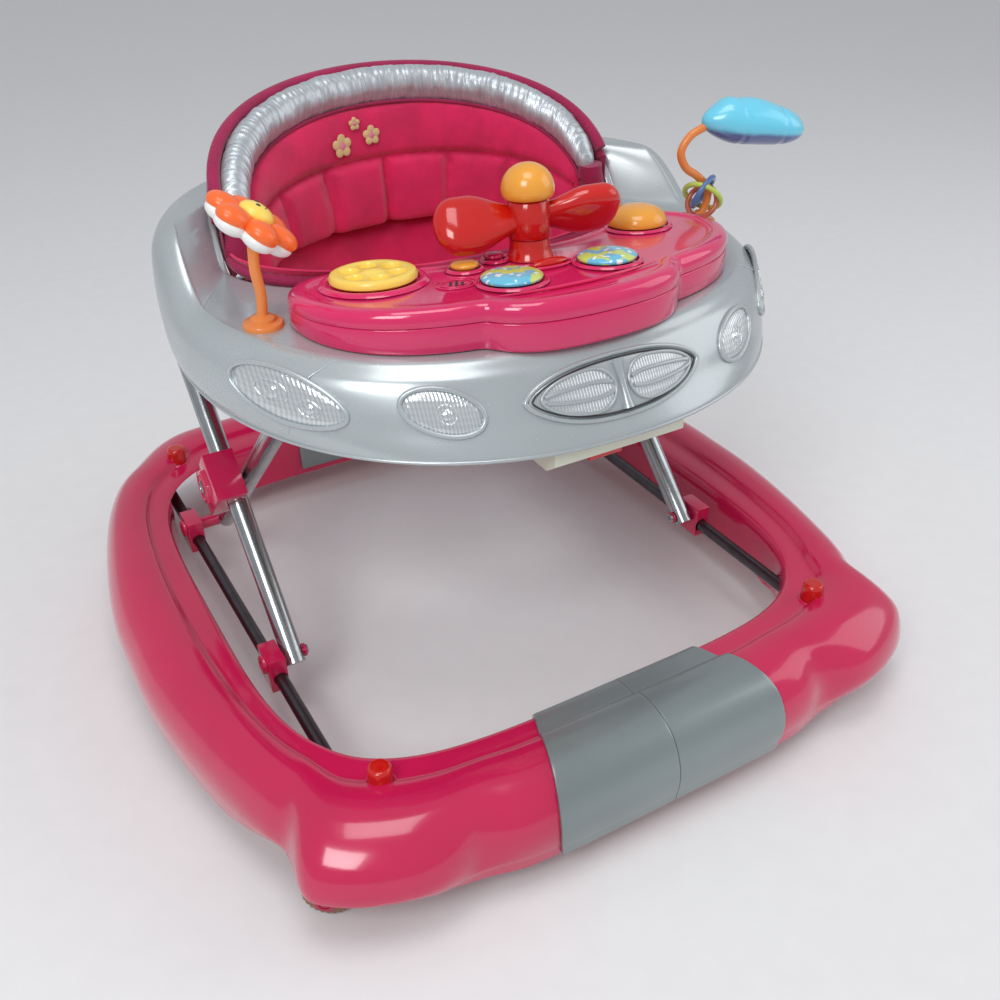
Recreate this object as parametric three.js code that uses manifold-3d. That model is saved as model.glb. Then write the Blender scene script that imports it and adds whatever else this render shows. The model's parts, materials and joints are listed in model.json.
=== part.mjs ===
// Baby walker: a moulded base ring on four castors, a scissor linkage, and a play tray with a fabric seat.
// Units are millimetres, +Z is up, -Y is the front. The origin is on the floor, under the middle of the base.
import * as THREE from 'three';
import Module from 'manifold-3d';
import { mergeVertices } from 'three/addons/utils/BufferGeometryUtils.js';

const wasm = await Module();
wasm.setup();

// ---------------------------------------------------------------- driving dimensions
const GAP = 0.3;                       // clearance kept between touching pieces
const RING = {
  halfWidth: 345, halfLength: 354, innerHalf: 264, outerPower: 4.5, innerPower: 4.35,
  lip: 28, castorLip: 47, wall: 3, waist: 0.068, stepDegrees: 6,
};
const COVER = { halfWidth: 106, wall: 3 };
const RAIL = { x: 235, z: 64, radius: 6, front: -262, rear: 284 };
const ARM = {
  tubeRadius: 9.5, bore: 8.3, outerX: 218, innerX: 198.4, pivotY: -80, pivotZ: 74,
  angle: 44 * Math.PI / 180, half: 168, reach: 350, bendRadius: 40, pinRadius: 3,
};
const STOPPER = {
  x: 218.3, frontY: -269, rearY: 268.5, collar: 86, top: 109.3, radius: 9.6, stemRadius: 5, footRadius: 9,
};
const CASTOR = {
  frontX: 267, frontY: -291, rearX: 258, rearY: 268, wheelRadius: 20, wheelWidth: 14, trail: 9,
  heading: 143 * Math.PI / 180, crownZ: 46.5,
};
const TRAY = {
  rimZ: 325, topZ: 385, wingZ: 430, wall: 3, centreY: -10,
  holeY: 45, holeHalfWidth: 192, holeFront: 110, holeRear: 136,
};
const TOY = { base: 385.4, split: 398, top: 414, pivotY: -140, tilt: -6 * Math.PI / 180 };
const SEAT = { halfWidth: 180, halfDepth: 122, centreY: 44, bottom: 392, top: 503, pouchBottom: 222 };

const COLOUR = {
  pink: { color: 0xd5305f, roughness: 0.2, metalness: 0 },
  toyPink: { color: 0xe03a6c, roughness: 0.25, metalness: 0 },
  silver: { color: 0x9aa2a2, roughness: 0.32, metalness: 0.35 },
  steel: { color: 0x8e9494, roughness: 0.28, metalness: 0.95 },
  dark: { color: 0x4a4648, roughness: 0.4, metalness: 0.6 },
  red: { color: 0xc0201c, roughness: 0.3, metalness: 0 },
  clear: { color: 0xdfe5e6, roughness: 0.15, metalness: 0 },
  cream: { color: 0xe4e4d0, roughness: 0.45, metalness: 0 },
  yellow: { color: 0xf8dc66, roughness: 0.35, metalness: 0 },
  amber: { color: 0xe8b248, roughness: 0.3, metalness: 0 },
  blue: { color: 0x6ac4e2, roughness: 0.35, metalness: 0 },
  orange: { color: 0xf5823c, roughness: 0.4, metalness: 0 },
  brown: { color: 0x9a7a62, roughness: 0.35, metalness: 0 },
  fabric: { color: 0xcf2054, roughness: 0.9, metalness: 0 },
  satin: { color: 0xd6dade, roughness: 0.4, metalness: 0.2 },
};

// ---------------------------------------------------------------- geometry helpers
const radians = THREE.MathUtils.degToRad;
const smooth = THREE.MathUtils.smoothstep;

/** Turns every face of a closed geometry outwards. */
function facingOut(geometry) {
  const index = geometry.index.array;
  const p = geometry.attributes.position;
  let volume = 0;
  const [a, b, c] = [new THREE.Vector3(), new THREE.Vector3(), new THREE.Vector3()];
  for (let i = 0; i < index.length; i += 3) {
    a.fromBufferAttribute(p, index[i]);
    b.fromBufferAttribute(p, index[i + 1]);
    c.fromBufferAttribute(p, index[i + 2]);
    volume += a.dot(b.cross(c));
  }
  if (volume < 0) {
    for (let i = 0; i < index.length; i += 3) [index[i], index[i + 1]] = [index[i + 1], index[i]];
  }
  return geometry;
}

/** Leaves only welded positions, with the faces pointing out. */
function welded(geometry) {
  const plain = geometry.clone();
  plain.deleteAttribute('normal');
  plain.deleteAttribute('uv');
  return facingOut(mergeVertices(plain, 1e-3));
}

/** A closed skin through a list of rings; it ends in flat caps, or joins up where closed is true. */
function loft(rings, closed = false) {
  const count = rings[0].length;
  const positions = rings.flat().flatMap((v) => [v.x, v.y, v.z]);
  const faces = [];
  const spans = closed ? rings.length : rings.length - 1;
  for (let i = 0; i < spans; i++) {
    const next = (i + 1) % rings.length;
    for (let j = 0; j < count; j++) {
      const k = (j + 1) % count;
      const [p, q, r, s] = [i * count + j, i * count + k, next * count + k, next * count + j];
      faces.push(p, q, r, p, r, s);
    }
  }
  if (!closed) {
    faces.push(...capFaces(rings[0], 0, true), ...capFaces(rings.at(-1), (rings.length - 1) * count, false));
  }
  const geometry = new THREE.BufferGeometry();
  geometry.setAttribute('position', new THREE.Float32BufferAttribute(positions, 3));
  geometry.setIndex(faces);
  return facingOut(geometry);
}

/** Triangles that close one flat ring, wound with the skin's first or last ring. */
function capFaces(ring, offset, first) {
  const normal = new THREE.Vector3();
  ring.forEach((v, i) => normal.add(v.clone().sub(ring[0]).cross(ring[(i + 1) % ring.length].clone().sub(ring[0]))));
  normal.normalize();
  const side = new THREE.Vector3(0.31, 0.57, 0.76).cross(normal).normalize();
  const up = normal.clone().cross(side);
  const flat = ring.map((v) => new THREE.Vector2(v.dot(side), v.dot(up)));
  const faces = THREE.ShapeUtils.triangulateShape(flat, []);
  return faces.flatMap(([a, b, c]) => (first ? [c, b, a] : [a, b, c]).map((i) => i + offset));
}

/** A round bar along a flat path whose plane has the given normal. */
function bar(path, radius, planeNormal, sides = 10) {
  const rings = path.map((point, i) => {
    const before = path[Math.max(i - 1, 0)];
    const after = path[Math.min(i + 1, path.length - 1)];
    const across = after.clone().sub(before).normalize().cross(planeNormal).normalize();
    return Array.from({ length: sides }, (_, k) => {
      const a = 2 * Math.PI * (k + 0.5) / sides;
      return point.clone()
        .addScaledVector(across, radius * Math.cos(a))
        .addScaledVector(planeNormal, radius * Math.sin(a));
    });
  });
  return loft(rings);
}

/** The solid that manifold-3d joins and cuts. */
function solid(geometry) {
  const g = welded(geometry);
  return new wasm.Manifold(new wasm.Mesh({
    numProp: 3,
    vertProperties: new Float32Array(g.attributes.position.array),
    triVerts: new Uint32Array(g.index.array),
  }));
}

/** The geometry of a joined or cut solid. */
function shapeOf(manifold) {
  const mesh = manifold.getMesh();
  const geometry = new THREE.BufferGeometry();
  geometry.setAttribute('position', new THREE.Float32BufferAttribute(mesh.vertProperties, 3));
  geometry.setIndex(Array.from(mesh.triVerts));
  return geometry;
}

const joined = (...shapes) => shapeOf(shapes.map(solid).reduce((whole, next) => whole.add(next)));
const cut = (shape, ...tools) => shapeOf(
  tools.map(solid).reduce((whole, tool) => whole.subtract(tool), solid(shape)),
);
const common = (shape, other) => shapeOf(solid(shape).intersect(solid(other)));

const at = (geometry, x, y, z) => geometry.clone().translate(x, y, z);
const block = (x0, x1, y0, y1, z0, z1) => at(
  new THREE.BoxGeometry(Math.abs(x1 - x0), Math.abs(y1 - y0), Math.abs(z1 - z0)),
  (x0 + x1) / 2, (y0 + y1) / 2, (z0 + z1) / 2,
);
const post = (x, y, z0, z1, radius, sides = 20, topRadius = radius) => at(
  new THREE.CylinderGeometry(topRadius, radius, z1 - z0, sides).rotateX(Math.PI / 2), x, y, (z0 + z1) / 2,
);
const axle = (x0, x1, y, z, radius, sides = 16) => at(
  new THREE.CylinderGeometry(radius, radius, Math.abs(x1 - x0), sides).rotateZ(Math.PI / 2), (x0 + x1) / 2, y, z,
);

/** A turned body on the Z axis from [radius, height] points. */
function turned(points, sides = 28) {
  const lathe = new THREE.LatheGeometry(points.map(([r, z]) => new THREE.Vector2(r, z)), sides);
  return welded(lathe.rotateX(Math.PI / 2));
}

/** An outline pushed up Z, with optional rounded edges. */
function slab(shape, z0, z1, bevel = 0, curveSegments = 12) {
  const geometry = new THREE.ExtrudeGeometry(shape, {
    depth: z1 - z0 - 2 * bevel, bevelEnabled: bevel > 0, bevelSize: bevel, bevelThickness: bevel,
    bevelOffset: -bevel, bevelSegments: 2, curveSegments,
  });
  return welded(geometry.translate(0, 0, z0 + bevel));
}

/** A section drawn in Y and Z, pushed along X. */
function sideSlab(points, x0, x1, holes = []) {
  const shape = new THREE.Shape(points.map(([y, z]) => new THREE.Vector2(y, z)));
  shape.holes = holes;
  const geometry = new THREE.ExtrudeGeometry(shape, { depth: x1 - x0, bevelEnabled: false, curveSegments: 10 });
  const turn = new THREE.Matrix4().makeBasis(
    new THREE.Vector3(0, 1, 0), new THREE.Vector3(0, 0, 1), new THREE.Vector3(1, 0, 0),
  );
  return welded(geometry.applyMatrix4(turn).translate(x0, 0, 0));
}

const ellipseShape = (a, b) => new THREE.Shape().absellipse(0, 0, a, b, 0, 2 * Math.PI);
const SIDES = [['left', -1], ['right', 1]];
const object = new THREE.Group();

/** Adds one named piece to the walker. */
function add(name, geometry, finish) {
  const mesh = new THREE.Mesh(welded(geometry), new THREE.MeshStandardMaterial(finish));
  mesh.name = name;
  object.add(mesh);
}

// ---------------------------------------------------------------- base ring
/** Distance from the middle to a rounded square in a direction. */
function roundedSquare(angle, a, b, power) {
  const c = Math.abs(Math.cos(angle)) / a;
  const s = Math.abs(Math.sin(angle)) / b;
  return (c ** power + s ** power) ** (-1 / power);
}

/** Degrees away from the X axis, 0 at the side and 90 at the front or rear. */
const tiltOf = (angle) => Math.asin(Math.abs(Math.sin(angle))) * 180 / Math.PI;

/** Outer edge of the ring: a waist behind each front fender and a slimmer rear. */
function outerRadius(angle) {
  const tilt = tiltOf(angle);
  const front = Math.sin(angle) < 0;
  const [fallStart, fallEnd] = front ? [40, 47] : [46, 60];
  const waist = smooth(tilt, 4, 40) * (1 - smooth(tilt, fallStart, fallEnd));
  const hip = front ? 0.016 * Math.exp(-(((tilt - 63.5) / 4) ** 2)) : 0;
  return roundedSquare(angle, RING.halfWidth, RING.halfLength, RING.outerPower) * (1 - RING.waist * waist - hip);
}

const innerRadius = (angle) => roundedSquare(angle, RING.innerHalf, RING.innerHalf, RING.innerPower);

/** One radial section of the ring from [share of the width, height, outward offset] points. */
function ringSection(angle, points) {
  const [inner, outer] = [innerRadius(angle), outerRadius(angle)];
  return points.map(([share, z, offset = 0]) => {
    const r = THREE.MathUtils.lerp(inner, outer, share) + offset;
    return new THREE.Vector3(r * Math.cos(angle), r * Math.sin(angle), z);
  });
}

/** How strongly a direction belongs to a castor corner, from 0 to 1. */
const cornerness = (angle) => Math.exp(-(((tiltOf(angle) - 47) / 13) ** 4));

/** The moulded outside of the ring, raised by lift where a cover lies on it. */
function ringOutside(angle, lift = 0) {
  const corner = cornerness(angle);
  const lip = THREE.MathUtils.lerp(RING.lip, RING.castorLip, corner);
  const bulge = Math.sin(angle) < 0 ? 3 * corner : 0;
  return [
    [0, Math.max(34, lip - 4), -lift], [0, 80, -lift], [0.05, 88.5 + lift, -lift / 2],
    [0.3, 91 + lift], [0.36, 98 + lift],
    [0.52, 100 + bulge / 2 + lift], [0.74, 95.5 + bulge + lift, lift / 2], [0.9, 84 + bulge + lift / 2, lift],
    [0.985, 67, lift + bulge / 2], [1, 54, lift + bulge / 2], [0.98, Math.max(40, lip + 2), lift], [0.93, lip, lift],
  ];
}

/** The hollow under the ring, open at the bottom. */
function ringInside(angle) {
  const w = RING.wall;
  const corner = cornerness(angle);
  const foot = THREE.MathUtils.lerp(RING.lip, RING.castorLip, corner);
  return [
    [0, 20, w], [0, 78, w], [0.05, 85.5, w], [0.31, 88], [0.37, 95], [0.52, 97], [0.73, 92.5],
    [0.88, 81.5, -w / 2], [0.965, 66, -w / 2], [0.98, 54, -w], [0.96, Math.max(40, foot + 2), -w], [0.92, 20, -w],
  ];
}

/** Directions from a start to an end in even steps. */
function sweepAngles(start, end) {
  const steps = Math.round(Math.abs(end - start) / RING.stepDegrees);
  return Array.from({ length: steps + 1 }, (_, i) => radians(start + (end - start) * i / steps));
}

/** Half the gap between the two halves of the ring, in degrees. */
const JOINT_LINE = 0.03;

/** One half of the ring, from the front middle round one side to the rear middle. */
function baseHalf(side) {
  const half = side < 0 ? [270 - JOINT_LINE, 90 + JOINT_LINE] : [-90 + JOINT_LINE, 90 - JOINT_LINE];
  const beyond = side < 0 ? [272, 88] : [-92, 92];
  const outside = loft(sweepAngles(...half).map((a) => ringSection(a, ringOutside(a))));
  const inside = loft(sweepAngles(...beyond).map((a) => ringSection(a, ringInside(a))));
  const castors = castorPlaces().filter((c) => c.side === side);
  const sockets = castors.map((c) => common(post(c.x, c.y, CASTOR.crownZ + 6, 105, 8.5, 12), outside));
  const bores = castors.map((c) => post(c.x, c.y, 20, 84, 5.3, 10));
  const knobHoles = [STOPPER.frontY, STOPPER.rearY]
    .map((y) => post(side * STOPPER.x, y, 20, 120, STOPPER.radius + 0.5, 14));
  const railHole = block(side * 227, side * 243, RAIL.front, -150, RAIL.z - 8, RAIL.z + 8);
  const slot = block(side * 184, side * 246.5, 180, 276, 20, 87);
  return cut(joined(cut(outside, inside), ...sockets), ...bores, ...knobHoles, railHole, slot);
}

/** A thin cover that wraps the ring between two directions. */
function ringCover(start, end) {
  const rings = sweepAngles(start, end).map((a) => {
    const skin = (lift) => ringSection(a, ringOutside(a, lift).slice(1));
    return [...skin(GAP + COVER.wall), ...skin(GAP + 0.1).reverse()];
  });
  return loft(rings);
}

function buildBase() {
  const reach = Math.atan(COVER.halfWidth / RING.halfLength) * 180 / Math.PI;
  for (const [name, side] of SIDES) {
    const inner = 270 + side * 0.05;
    add(`base_${name}`, baseHalf(side), COLOUR.pink);
    add(`front_cover_${name}`, ringCover(inner, 270 + side * reach), COLOUR.silver);
  }
  add('rear_cover', ringCover(90 - reach, 90 + reach), COLOUR.silver);
}

// ---------------------------------------------------------------- stoppers and castors
function buildStoppers() {
  const { radius: r, stemRadius: s, footRadius: f, top, collar } = STOPPER;
  for (const [name, side] of SIDES) {
    for (const [end, y] of [['front', STOPPER.frontY], ['rear', STOPPER.rearY]]) {
      const profile = [[0, 26], [s, 26], [s, collar], [r, collar], [r - 0.6, top - 2], [r - 2.4, top], [0, top]];
      const knob = turned(profile, 12);
      add(`stopper_knob_${end}_${name}`, at(knob, side * STOPPER.x, y, 0), COLOUR.red);
      const foot = turned([[0, 12], [f - 2, 12], [f, 14], [f - 3, 25.7], [0, 25.7]], 12);
      add(`stopper_foot_${end}_${name}`, at(foot, side * STOPPER.x, y, 0), COLOUR.clear);
    }
  }
}

/** Where each castor swivels. */
function castorPlaces() {
  return SIDES.flatMap(([name, side]) => [
    { name: `front_${name}`, side, x: side * CASTOR.frontX, y: CASTOR.frontY },
    { name: `rear_${name}`, side, x: side * CASTOR.rearX, y: CASTOR.rearY },
  ]);
}

/** The swivelling fork, drawn with the wheel axle along Y and the trail along +X. */
function castorFork() {
  const { wheelRadius: r, wheelWidth: w, trail, crownZ } = CASTOR;
  const cheekShape = new THREE.Shape();
  cheekShape.moveTo(-8, crownZ - 1.5);
  cheekShape.lineTo(-7, 28);
  cheekShape.absarc(trail, r, 9, Math.PI, 2 * Math.PI, false);
  cheekShape.lineTo(11, crownZ - 1.5);
  const cheek = new THREE.ExtrudeGeometry(cheekShape, { depth: 3.4, bevelEnabled: false, curveSegments: 5 });
  cheek.rotateX(Math.PI / 2);
  const near = cheek.clone().translate(0, -w / 2 - 0.6, 0);
  const far = cheek.clone().translate(0, w / 2 + 4, 0);
  const pin = new THREE.CylinderGeometry(3, 3, w + 6, 10).translate(0, 0, 0);
  return joined(
    near, far, at(pin, trail, 0, r), post(0, 0, crownZ - 3, crownZ + 5, 12, 14), post(0, 0, crownZ + 4, 83, 4.9, 10),
  );
}

/** The ribbed roller, drawn on the same axle. */
function castorWheel() {
  const { wheelRadius: r, wheelWidth: w, trail } = CASTOR;
  const ribs = 20;
  const shape = new THREE.Shape(Array.from({ length: ribs * 2 }, (_, i) => {
    const reach = i % 2 ? r - 1.2 : r;
    const a = Math.PI * i / ribs;
    return new THREE.Vector2(reach * Math.cos(a), reach * Math.sin(a));
  }));
  shape.holes = [new THREE.Path().absarc(0, 0, 3.3, 0, 2 * Math.PI, true)];
  const wheel = new THREE.ExtrudeGeometry(shape, { depth: w, bevelEnabled: false, curveSegments: 8 });
  return wheel.rotateX(Math.PI / 2).translate(trail, w / 2, r);
}

function buildCastors() {
  for (const place of castorPlaces()) {
    const heading = place.side < 0 ? CASTOR.heading : Math.PI - CASTOR.heading;
    const put = (shape) => at(shape.rotateZ(heading), place.x, place.y, 0);
    add(`castor_fork_${place.name}`, put(castorFork()), COLOUR.pink);
    add(`castor_wheel_${place.name}`, put(castorWheel()), COLOUR.brown);
  }
}

// ---------------------------------------------------------------- scissor linkage
const armPoint = (distance) => ({
  y: ARM.pivotY + distance * Math.cos(ARM.angle), z: ARM.pivotZ + distance * Math.sin(ARM.angle),
});
const CENTRE = armPoint(ARM.half);
const REAR_PIVOT_Y = 2 * CENTRE.y - ARM.pivotY;
const CROSSBAR = armPoint(ARM.reach);
const FRONT_CROSSBAR_Y = 2 * CENTRE.y - CROSSBAR.y;

/** One U-shaped tube: two legs and a crossbar, with a pin hole at each foot. */
function armTube(x, forward) {
  const lean = new THREE.Vector3(0, forward * Math.cos(ARM.angle), Math.sin(ARM.angle));
  const foot = new THREE.Vector3(0, forward > 0 ? ARM.pivotY : REAR_PIVOT_Y, ARM.pivotZ);
  const place = (across, along) => foot.clone().addScaledVector(lean, along).setX(across);
  const R = ARM.bendRadius;
  const bend = (side) => Array.from({ length: 5 }, (_, i) => {
    const a = radians(90 * i / 4);
    return place(side * (x - R + R * Math.cos(a)), ARM.reach - R + R * Math.sin(a));
  });
  const tube = (start) => [place(-x, start), ...bend(-1), ...bend(1).reverse(), place(x, start)];
  const normal = new THREE.Vector3(1, 0, 0).cross(lean).normalize();
  const hollow = cut(bar(tube(-9), ARM.tubeRadius, normal), bar(tube(-12), ARM.bore, normal));
  return cut(hollow, axle(-x - 20, x + 20, foot.y, foot.z, ARM.pinRadius + 0.4));
}

/** The block that runs on the side rail and carries an arm's foot on a pin. */
function railBracket(side, y, armX) {
  const inner = side * (ARM.outerX + ARM.tubeRadius + 0.8);
  const body = block(inner, side * 244, y - 15, y + 15, 51, 84.5);
  const boss = axle(side * (armX + ARM.tubeRadius + 0.5), inner + side * 2, y, ARM.pivotZ, 6.5);
  const pin = axle(side * (armX - ARM.tubeRadius - 1), inner + side * 2, y, ARM.pivotZ, ARM.pinRadius);
  const head = axle(side * (armX - ARM.tubeRadius - 3), side * (armX - ARM.tubeRadius - 0.5), y, ARM.pivotZ, 6);
  const outerCap = axle(side * 243, side * 246, y, ARM.pivotZ - 1, 8.5, 20);
  const bore = at(new THREE.CylinderGeometry(RAIL.radius + 0.4, RAIL.radius + 0.4, 60, 20), side * RAIL.x, y, RAIL.z);
  const pieces = armX === ARM.outerX ? [pin, head, outerCap] : [boss, pin, head, outerCap];
  return cut(joined(body, ...pieces), bore);
}

/** The pink block at the crossing, which grips the outer tube and shows a six-sided face. */
function pivotBlock(side) {
  const body = new THREE.BoxGeometry(28, 44, 50).rotateX(ARM.angle).translate(side * 226, CENTRE.y, CENTRE.z);
  const face = new THREE.CylinderGeometry(17, 18.5, 5, 6).rotateZ(side * -Math.PI / 2)
    .translate(side * 241.5, CENTRE.y, CENTRE.z);
  const tube = new THREE.CylinderGeometry(ARM.tubeRadius + 0.35, ARM.tubeRadius + 0.35, 90, 24)
    .rotateX(ARM.angle).translate(side * ARM.outerX, CENTRE.y, CENTRE.z);
  return cut(joined(body, face), tube);
}

function buildLinkage() {
  add('outer_arm', armTube(ARM.outerX, 1), COLOUR.steel);
  add('inner_arm', armTube(ARM.innerX, -1), COLOUR.steel);
  for (const [name, side] of SIDES) {
    const rail = at(
      new THREE.CylinderGeometry(RAIL.radius, RAIL.radius, RAIL.rear - RAIL.front, 16),
      side * RAIL.x, (RAIL.rear + RAIL.front) / 2, RAIL.z,
    );
    add(`side_rail_${name}`, rail, COLOUR.dark);
    add(`front_bracket_${name}`, railBracket(side, ARM.pivotY, ARM.outerX), COLOUR.pink);
    add(`rear_slider_${name}`, railBracket(side, REAR_PIVOT_Y, ARM.innerX), COLOUR.pink);
    add(`pivot_block_${name}`, pivotBlock(side), COLOUR.pink);
  }
}

// ---------------------------------------------------------------- tray
/** A point on a tray outline that has its own front and rear lengths. */
function trayPoint(angle, halfWidth, front, rear, power, z, centreY = TRAY.centreY) {
  const c = Math.cos(angle);
  const s = Math.sin(angle);
  const length = s < 0 ? front : rear;
  const x = halfWidth * Math.sign(c) * Math.abs(c) ** (2 / power);
  const y = centreY + length * Math.sign(s) * Math.abs(s) ** (2 / power);
  return new THREE.Vector3(x, y, z);
}

/** One section through the tray wall, from the seat hole over the top to the outer rim and back. */
function traySection(angle) {
  const w = TRAY.wall;
  const { holeHalfWidth, holeFront, holeRear, holeY } = TRAY;
  const edgeY = trayPoint(angle, 234, 206, 204, 2.2, 0).y;
  const wing = smooth(edgeY, -30, 50);
  const top = THREE.MathUtils.lerp(TRAY.topZ, TRAY.wingZ, wing);
  const [brow, cheek] = [THREE.MathUtils.lerp(368, top - 22, wing), THREE.MathUtils.lerp(345, top - 50, wing)];
  const rim = THREE.MathUtils.lerp(TRAY.rimZ, TRAY.rimZ + 22, smooth(edgeY, 0, 110));
  const hole = (grow, z) => trayPoint(angle, holeHalfWidth + grow, holeFront + grow, holeRear + grow, 2, z, holeY);
  const skin = (halfWidth, front, rear, z) => trayPoint(angle, halfWidth, front, rear, 2.2, z);
  return [
    hole(2, top - 24), hole(0, top - 4), hole(4, top), skin(234, 206, 204, top), skin(244, 213, 212, top - 5),
    skin(254, 226, 224, brow), skin(256, 240, 228, cheek), skin(250, 254, 222, rim),
    skin(250 - w, 254 - w, 222 - w, rim), skin(256 - w, 240 - w, 228 - w, cheek),
    skin(254 - w, 226 - w, 224 - w, brow - 1), skin(242 - w, 211 - w, 210 - w, top - 5 - w),
    skin(234, 206, 204, top - w), hole(4 + w, top - w), hole(w, top - 4 - w), hole(2 + w, top - 24),
  ];
}

/** The silver shell of the tray. */
function buildTray() {
  const steps = 36;
  const rings = Array.from({ length: steps }, (_, i) => traySection(2 * Math.PI * (i + 0.5) / steps));
  add('tray_shell', loft(rings, true), COLOUR.silver);

  const cradle = sideSlab([[152, 303], [192, 303], [192, 340], [180, 352], [152, 352]], -70, 70);
  add('rear_cradle', cut(cradle, axle(-90, 90, CROSSBAR.y, CROSSBAR.z, ARM.tubeRadius + 0.4, 24)), COLOUR.dark);

  const travel = 100;
  const slotRadius = ARM.tubeRadius + 0.9;
  const slot = new THREE.Path();
  slot.absarc(FRONT_CROSSBAR_Y, CROSSBAR.z, slotRadius, -Math.PI / 2, Math.PI / 2, false);
  slot.absarc(FRONT_CROSSBAR_Y - travel, CROSSBAR.z, slotRadius, Math.PI / 2, 3 * Math.PI / 2, false);
  const outline = [[-250, 308], [-238, 299], [-68, 299], [-68, 338], [-232, 338], [-250, 322]];
  add('adjuster_box', sideSlab(outline, -58, 58, [slot]), COLOUR.cream);
  const pad = block(-15, 15, -232, -214, 291, 298.7);
  add('adjuster_catch', joined(pad, block(-15, 15, -218, -214, 284, 292)), COLOUR.red);
}

/** A point on the sloping front of the tray and the direction that it faces. */
function trayFace(x, z) {
  const share = (z - 345) / (368 - 345);
  const half = THREE.MathUtils.lerp(256, 254, share);
  const length = THREE.MathUtils.lerp(240, 226, share);
  const place = (px) => TRAY.centreY - length * (1 - (Math.abs(px) / half) ** 2.2) ** (1 / 2.2);
  const slope = (place(x + 1) - place(x - 1)) / 2;
  const normal = new THREE.Vector3(slope, -1, 14 / 23).normalize();
  return { point: new THREE.Vector3(x, place(x), z), normal };
}

/** A lens or grille plate laid on the sloping front; rise gives its half height along its length, from -1 to 1. */
function facePlate(x0, z0, halfLength, rise, turn, thickness = 4, lift = 1.2) {
  const steps = 12;
  const rings = Array.from({ length: steps + 1 }, (_, i) => {
    const along = -Math.cos(Math.PI * i / steps);
    const half = Math.max(rise(along), 1.5);
    const place = (v, height) => {
      const u = along * halfLength;
      const [c, s] = [Math.cos(turn), Math.sin(turn)];
      const { point, normal } = trayFace(x0 + u * c - v * s, z0 + u * s + v * c);
      return point.addScaledVector(normal, height);
    };
    return [place(-half, lift), place(0, lift), place(half, lift), place(half * 0.86, lift + thickness),
      place(0, lift + thickness * 1.2), place(-half * 0.86, lift + thickness)];
  });
  return loft(rings);
}

function buildLampsAndGrille() {
  for (const [name, side] of SIDES) {
    const head = (t) => 17 * Math.sqrt(1 - t * t) * (1 + 0.25 * side * t);
    const oval = (t) => 14 * Math.sqrt(1 - t * t);
    add(`headlight_${name}`, facePlate(side * 212, 359, 27, head, side * 0.25), COLOUR.clear);
    add(`side_lamp_${name}`, facePlate(side * 129, 357, 25, oval, side * 0.2), COLOUR.clear);
  }
  add('grille', facePlate(0, 357, 74, (t) => 18 * (1 - Math.abs(t) ** 2.4) ** 0.7, 0), COLOUR.silver);
}

// ---------------------------------------------------------------- toy tray
/** Outline of the toy tray: a middle lobe with a smaller lobe on each side. */
function toyOutline() {
  const shape = new THREE.Shape();
  shape.moveTo(-150, -52);
  shape.bezierCurveTo(-178, -56, -192, -84, -187, -110);
  shape.bezierCurveTo(-182, -150, -150, -186, -84, -197);
  shape.bezierCurveTo(-70, -222, -40, -228, 0, -228);
  shape.bezierCurveTo(40, -228, 70, -222, 84, -197);
  shape.bezierCurveTo(150, -186, 182, -150, 187, -110);
  shape.bezierCurveTo(192, -84, 178, -56, 150, -52);
  shape.bezierCurveTo(110, -48, 90, -88, 40, -88);
  shape.lineTo(-40, -88);
  shape.bezierCurveTo(-90, -88, -110, -48, -150, -52);
  return shape;
}

/** Leans a piece drawn on a level top, so that the top falls gently towards the child. */
const leaned = (geometry) => geometry.clone().translate(0, -TOY.pivotY, -TOY.top).rotateX(TOY.tilt)
  .translate(0, TOY.pivotY, TOY.top);

/** A low button with a rounded top and a stem that runs in a hole. */
const buttonShape = (radius, height, stem) => turned([
  [0, -6.5], [stem, -6.5], [stem, 2.4], [radius, 2.4], [radius, 2.4 + height * 0.4],
  [radius * 0.7, height + 1.5], [0, height + 2],
], 14);

const BUTTONS = [
  ['amber_button', 122, -92, 25, 15, COLOUR.amber],
  ['picture_button_left', -42, -162, 23, 5, COLOUR.blue],
  ['picture_button_right', 42, -162, 23, 5, COLOUR.blue],
  ['yellow_button', -54, -112, 11, 4, COLOUR.yellow],
  ['pink_button', -24, -104, 8, 4, COLOUR.toyPink],
];
const STEM = 6;
const DIAL = { x: -122, y: -96, radius: 33 };
const SPINNER = { x: 3, y: -114, dome: 18.5, top: 488 };

function buildToyTray() {
  const { base, split, top } = TOY;
  const lower = slab(toyOutline(), base, split, 0, 4);
  const body = leaned(slab(toyOutline(), split - 30, top, 5, 4));
  const bores = BUTTONS.map(([, x, y]) => leaned(post(x, y, top - 13, top + 9, STEM + 0.3, 12)));
  bores.push(leaned(post(DIAL.x, DIAL.y, top - 9, top + 9, STEM + 0.3, 12)));
  add('toy_tray_base', lower, COLOUR.toyPink);
  add('toy_tray_top', cut(body, block(-300, 300, -400, 100, split - 80, split + GAP), ...bores), COLOUR.toyPink);
  for (const [name, x, y, radius, height, finish] of BUTTONS) {
    add(name, leaned(at(buttonShape(radius, height, STEM), x, y, top)), finish);
  }
  const r = DIAL.radius;
  const dial = turned([[0, -8], [STEM, -8], [STEM, 0.4], [r, 0.4], [r, 5], [r - 4, 8], [0, 8]], 24);
  const fingers = Array.from({ length: 6 }, (_, i) => {
    const a = radians(60 * i + 20);
    return post(20 * Math.cos(a), 20 * Math.sin(a), 3, 12, 6.5, 10);
  });
  add('finger_dial', leaned(at(cut(dial, ...fingers), DIAL.x, DIAL.y, top)), COLOUR.yellow);
  add('red_light', leaned(at(slab(ellipseShape(16, 5), top + GAP, top + 5, 1, 4), 1, -146, 0)), COLOUR.red);
}

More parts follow.
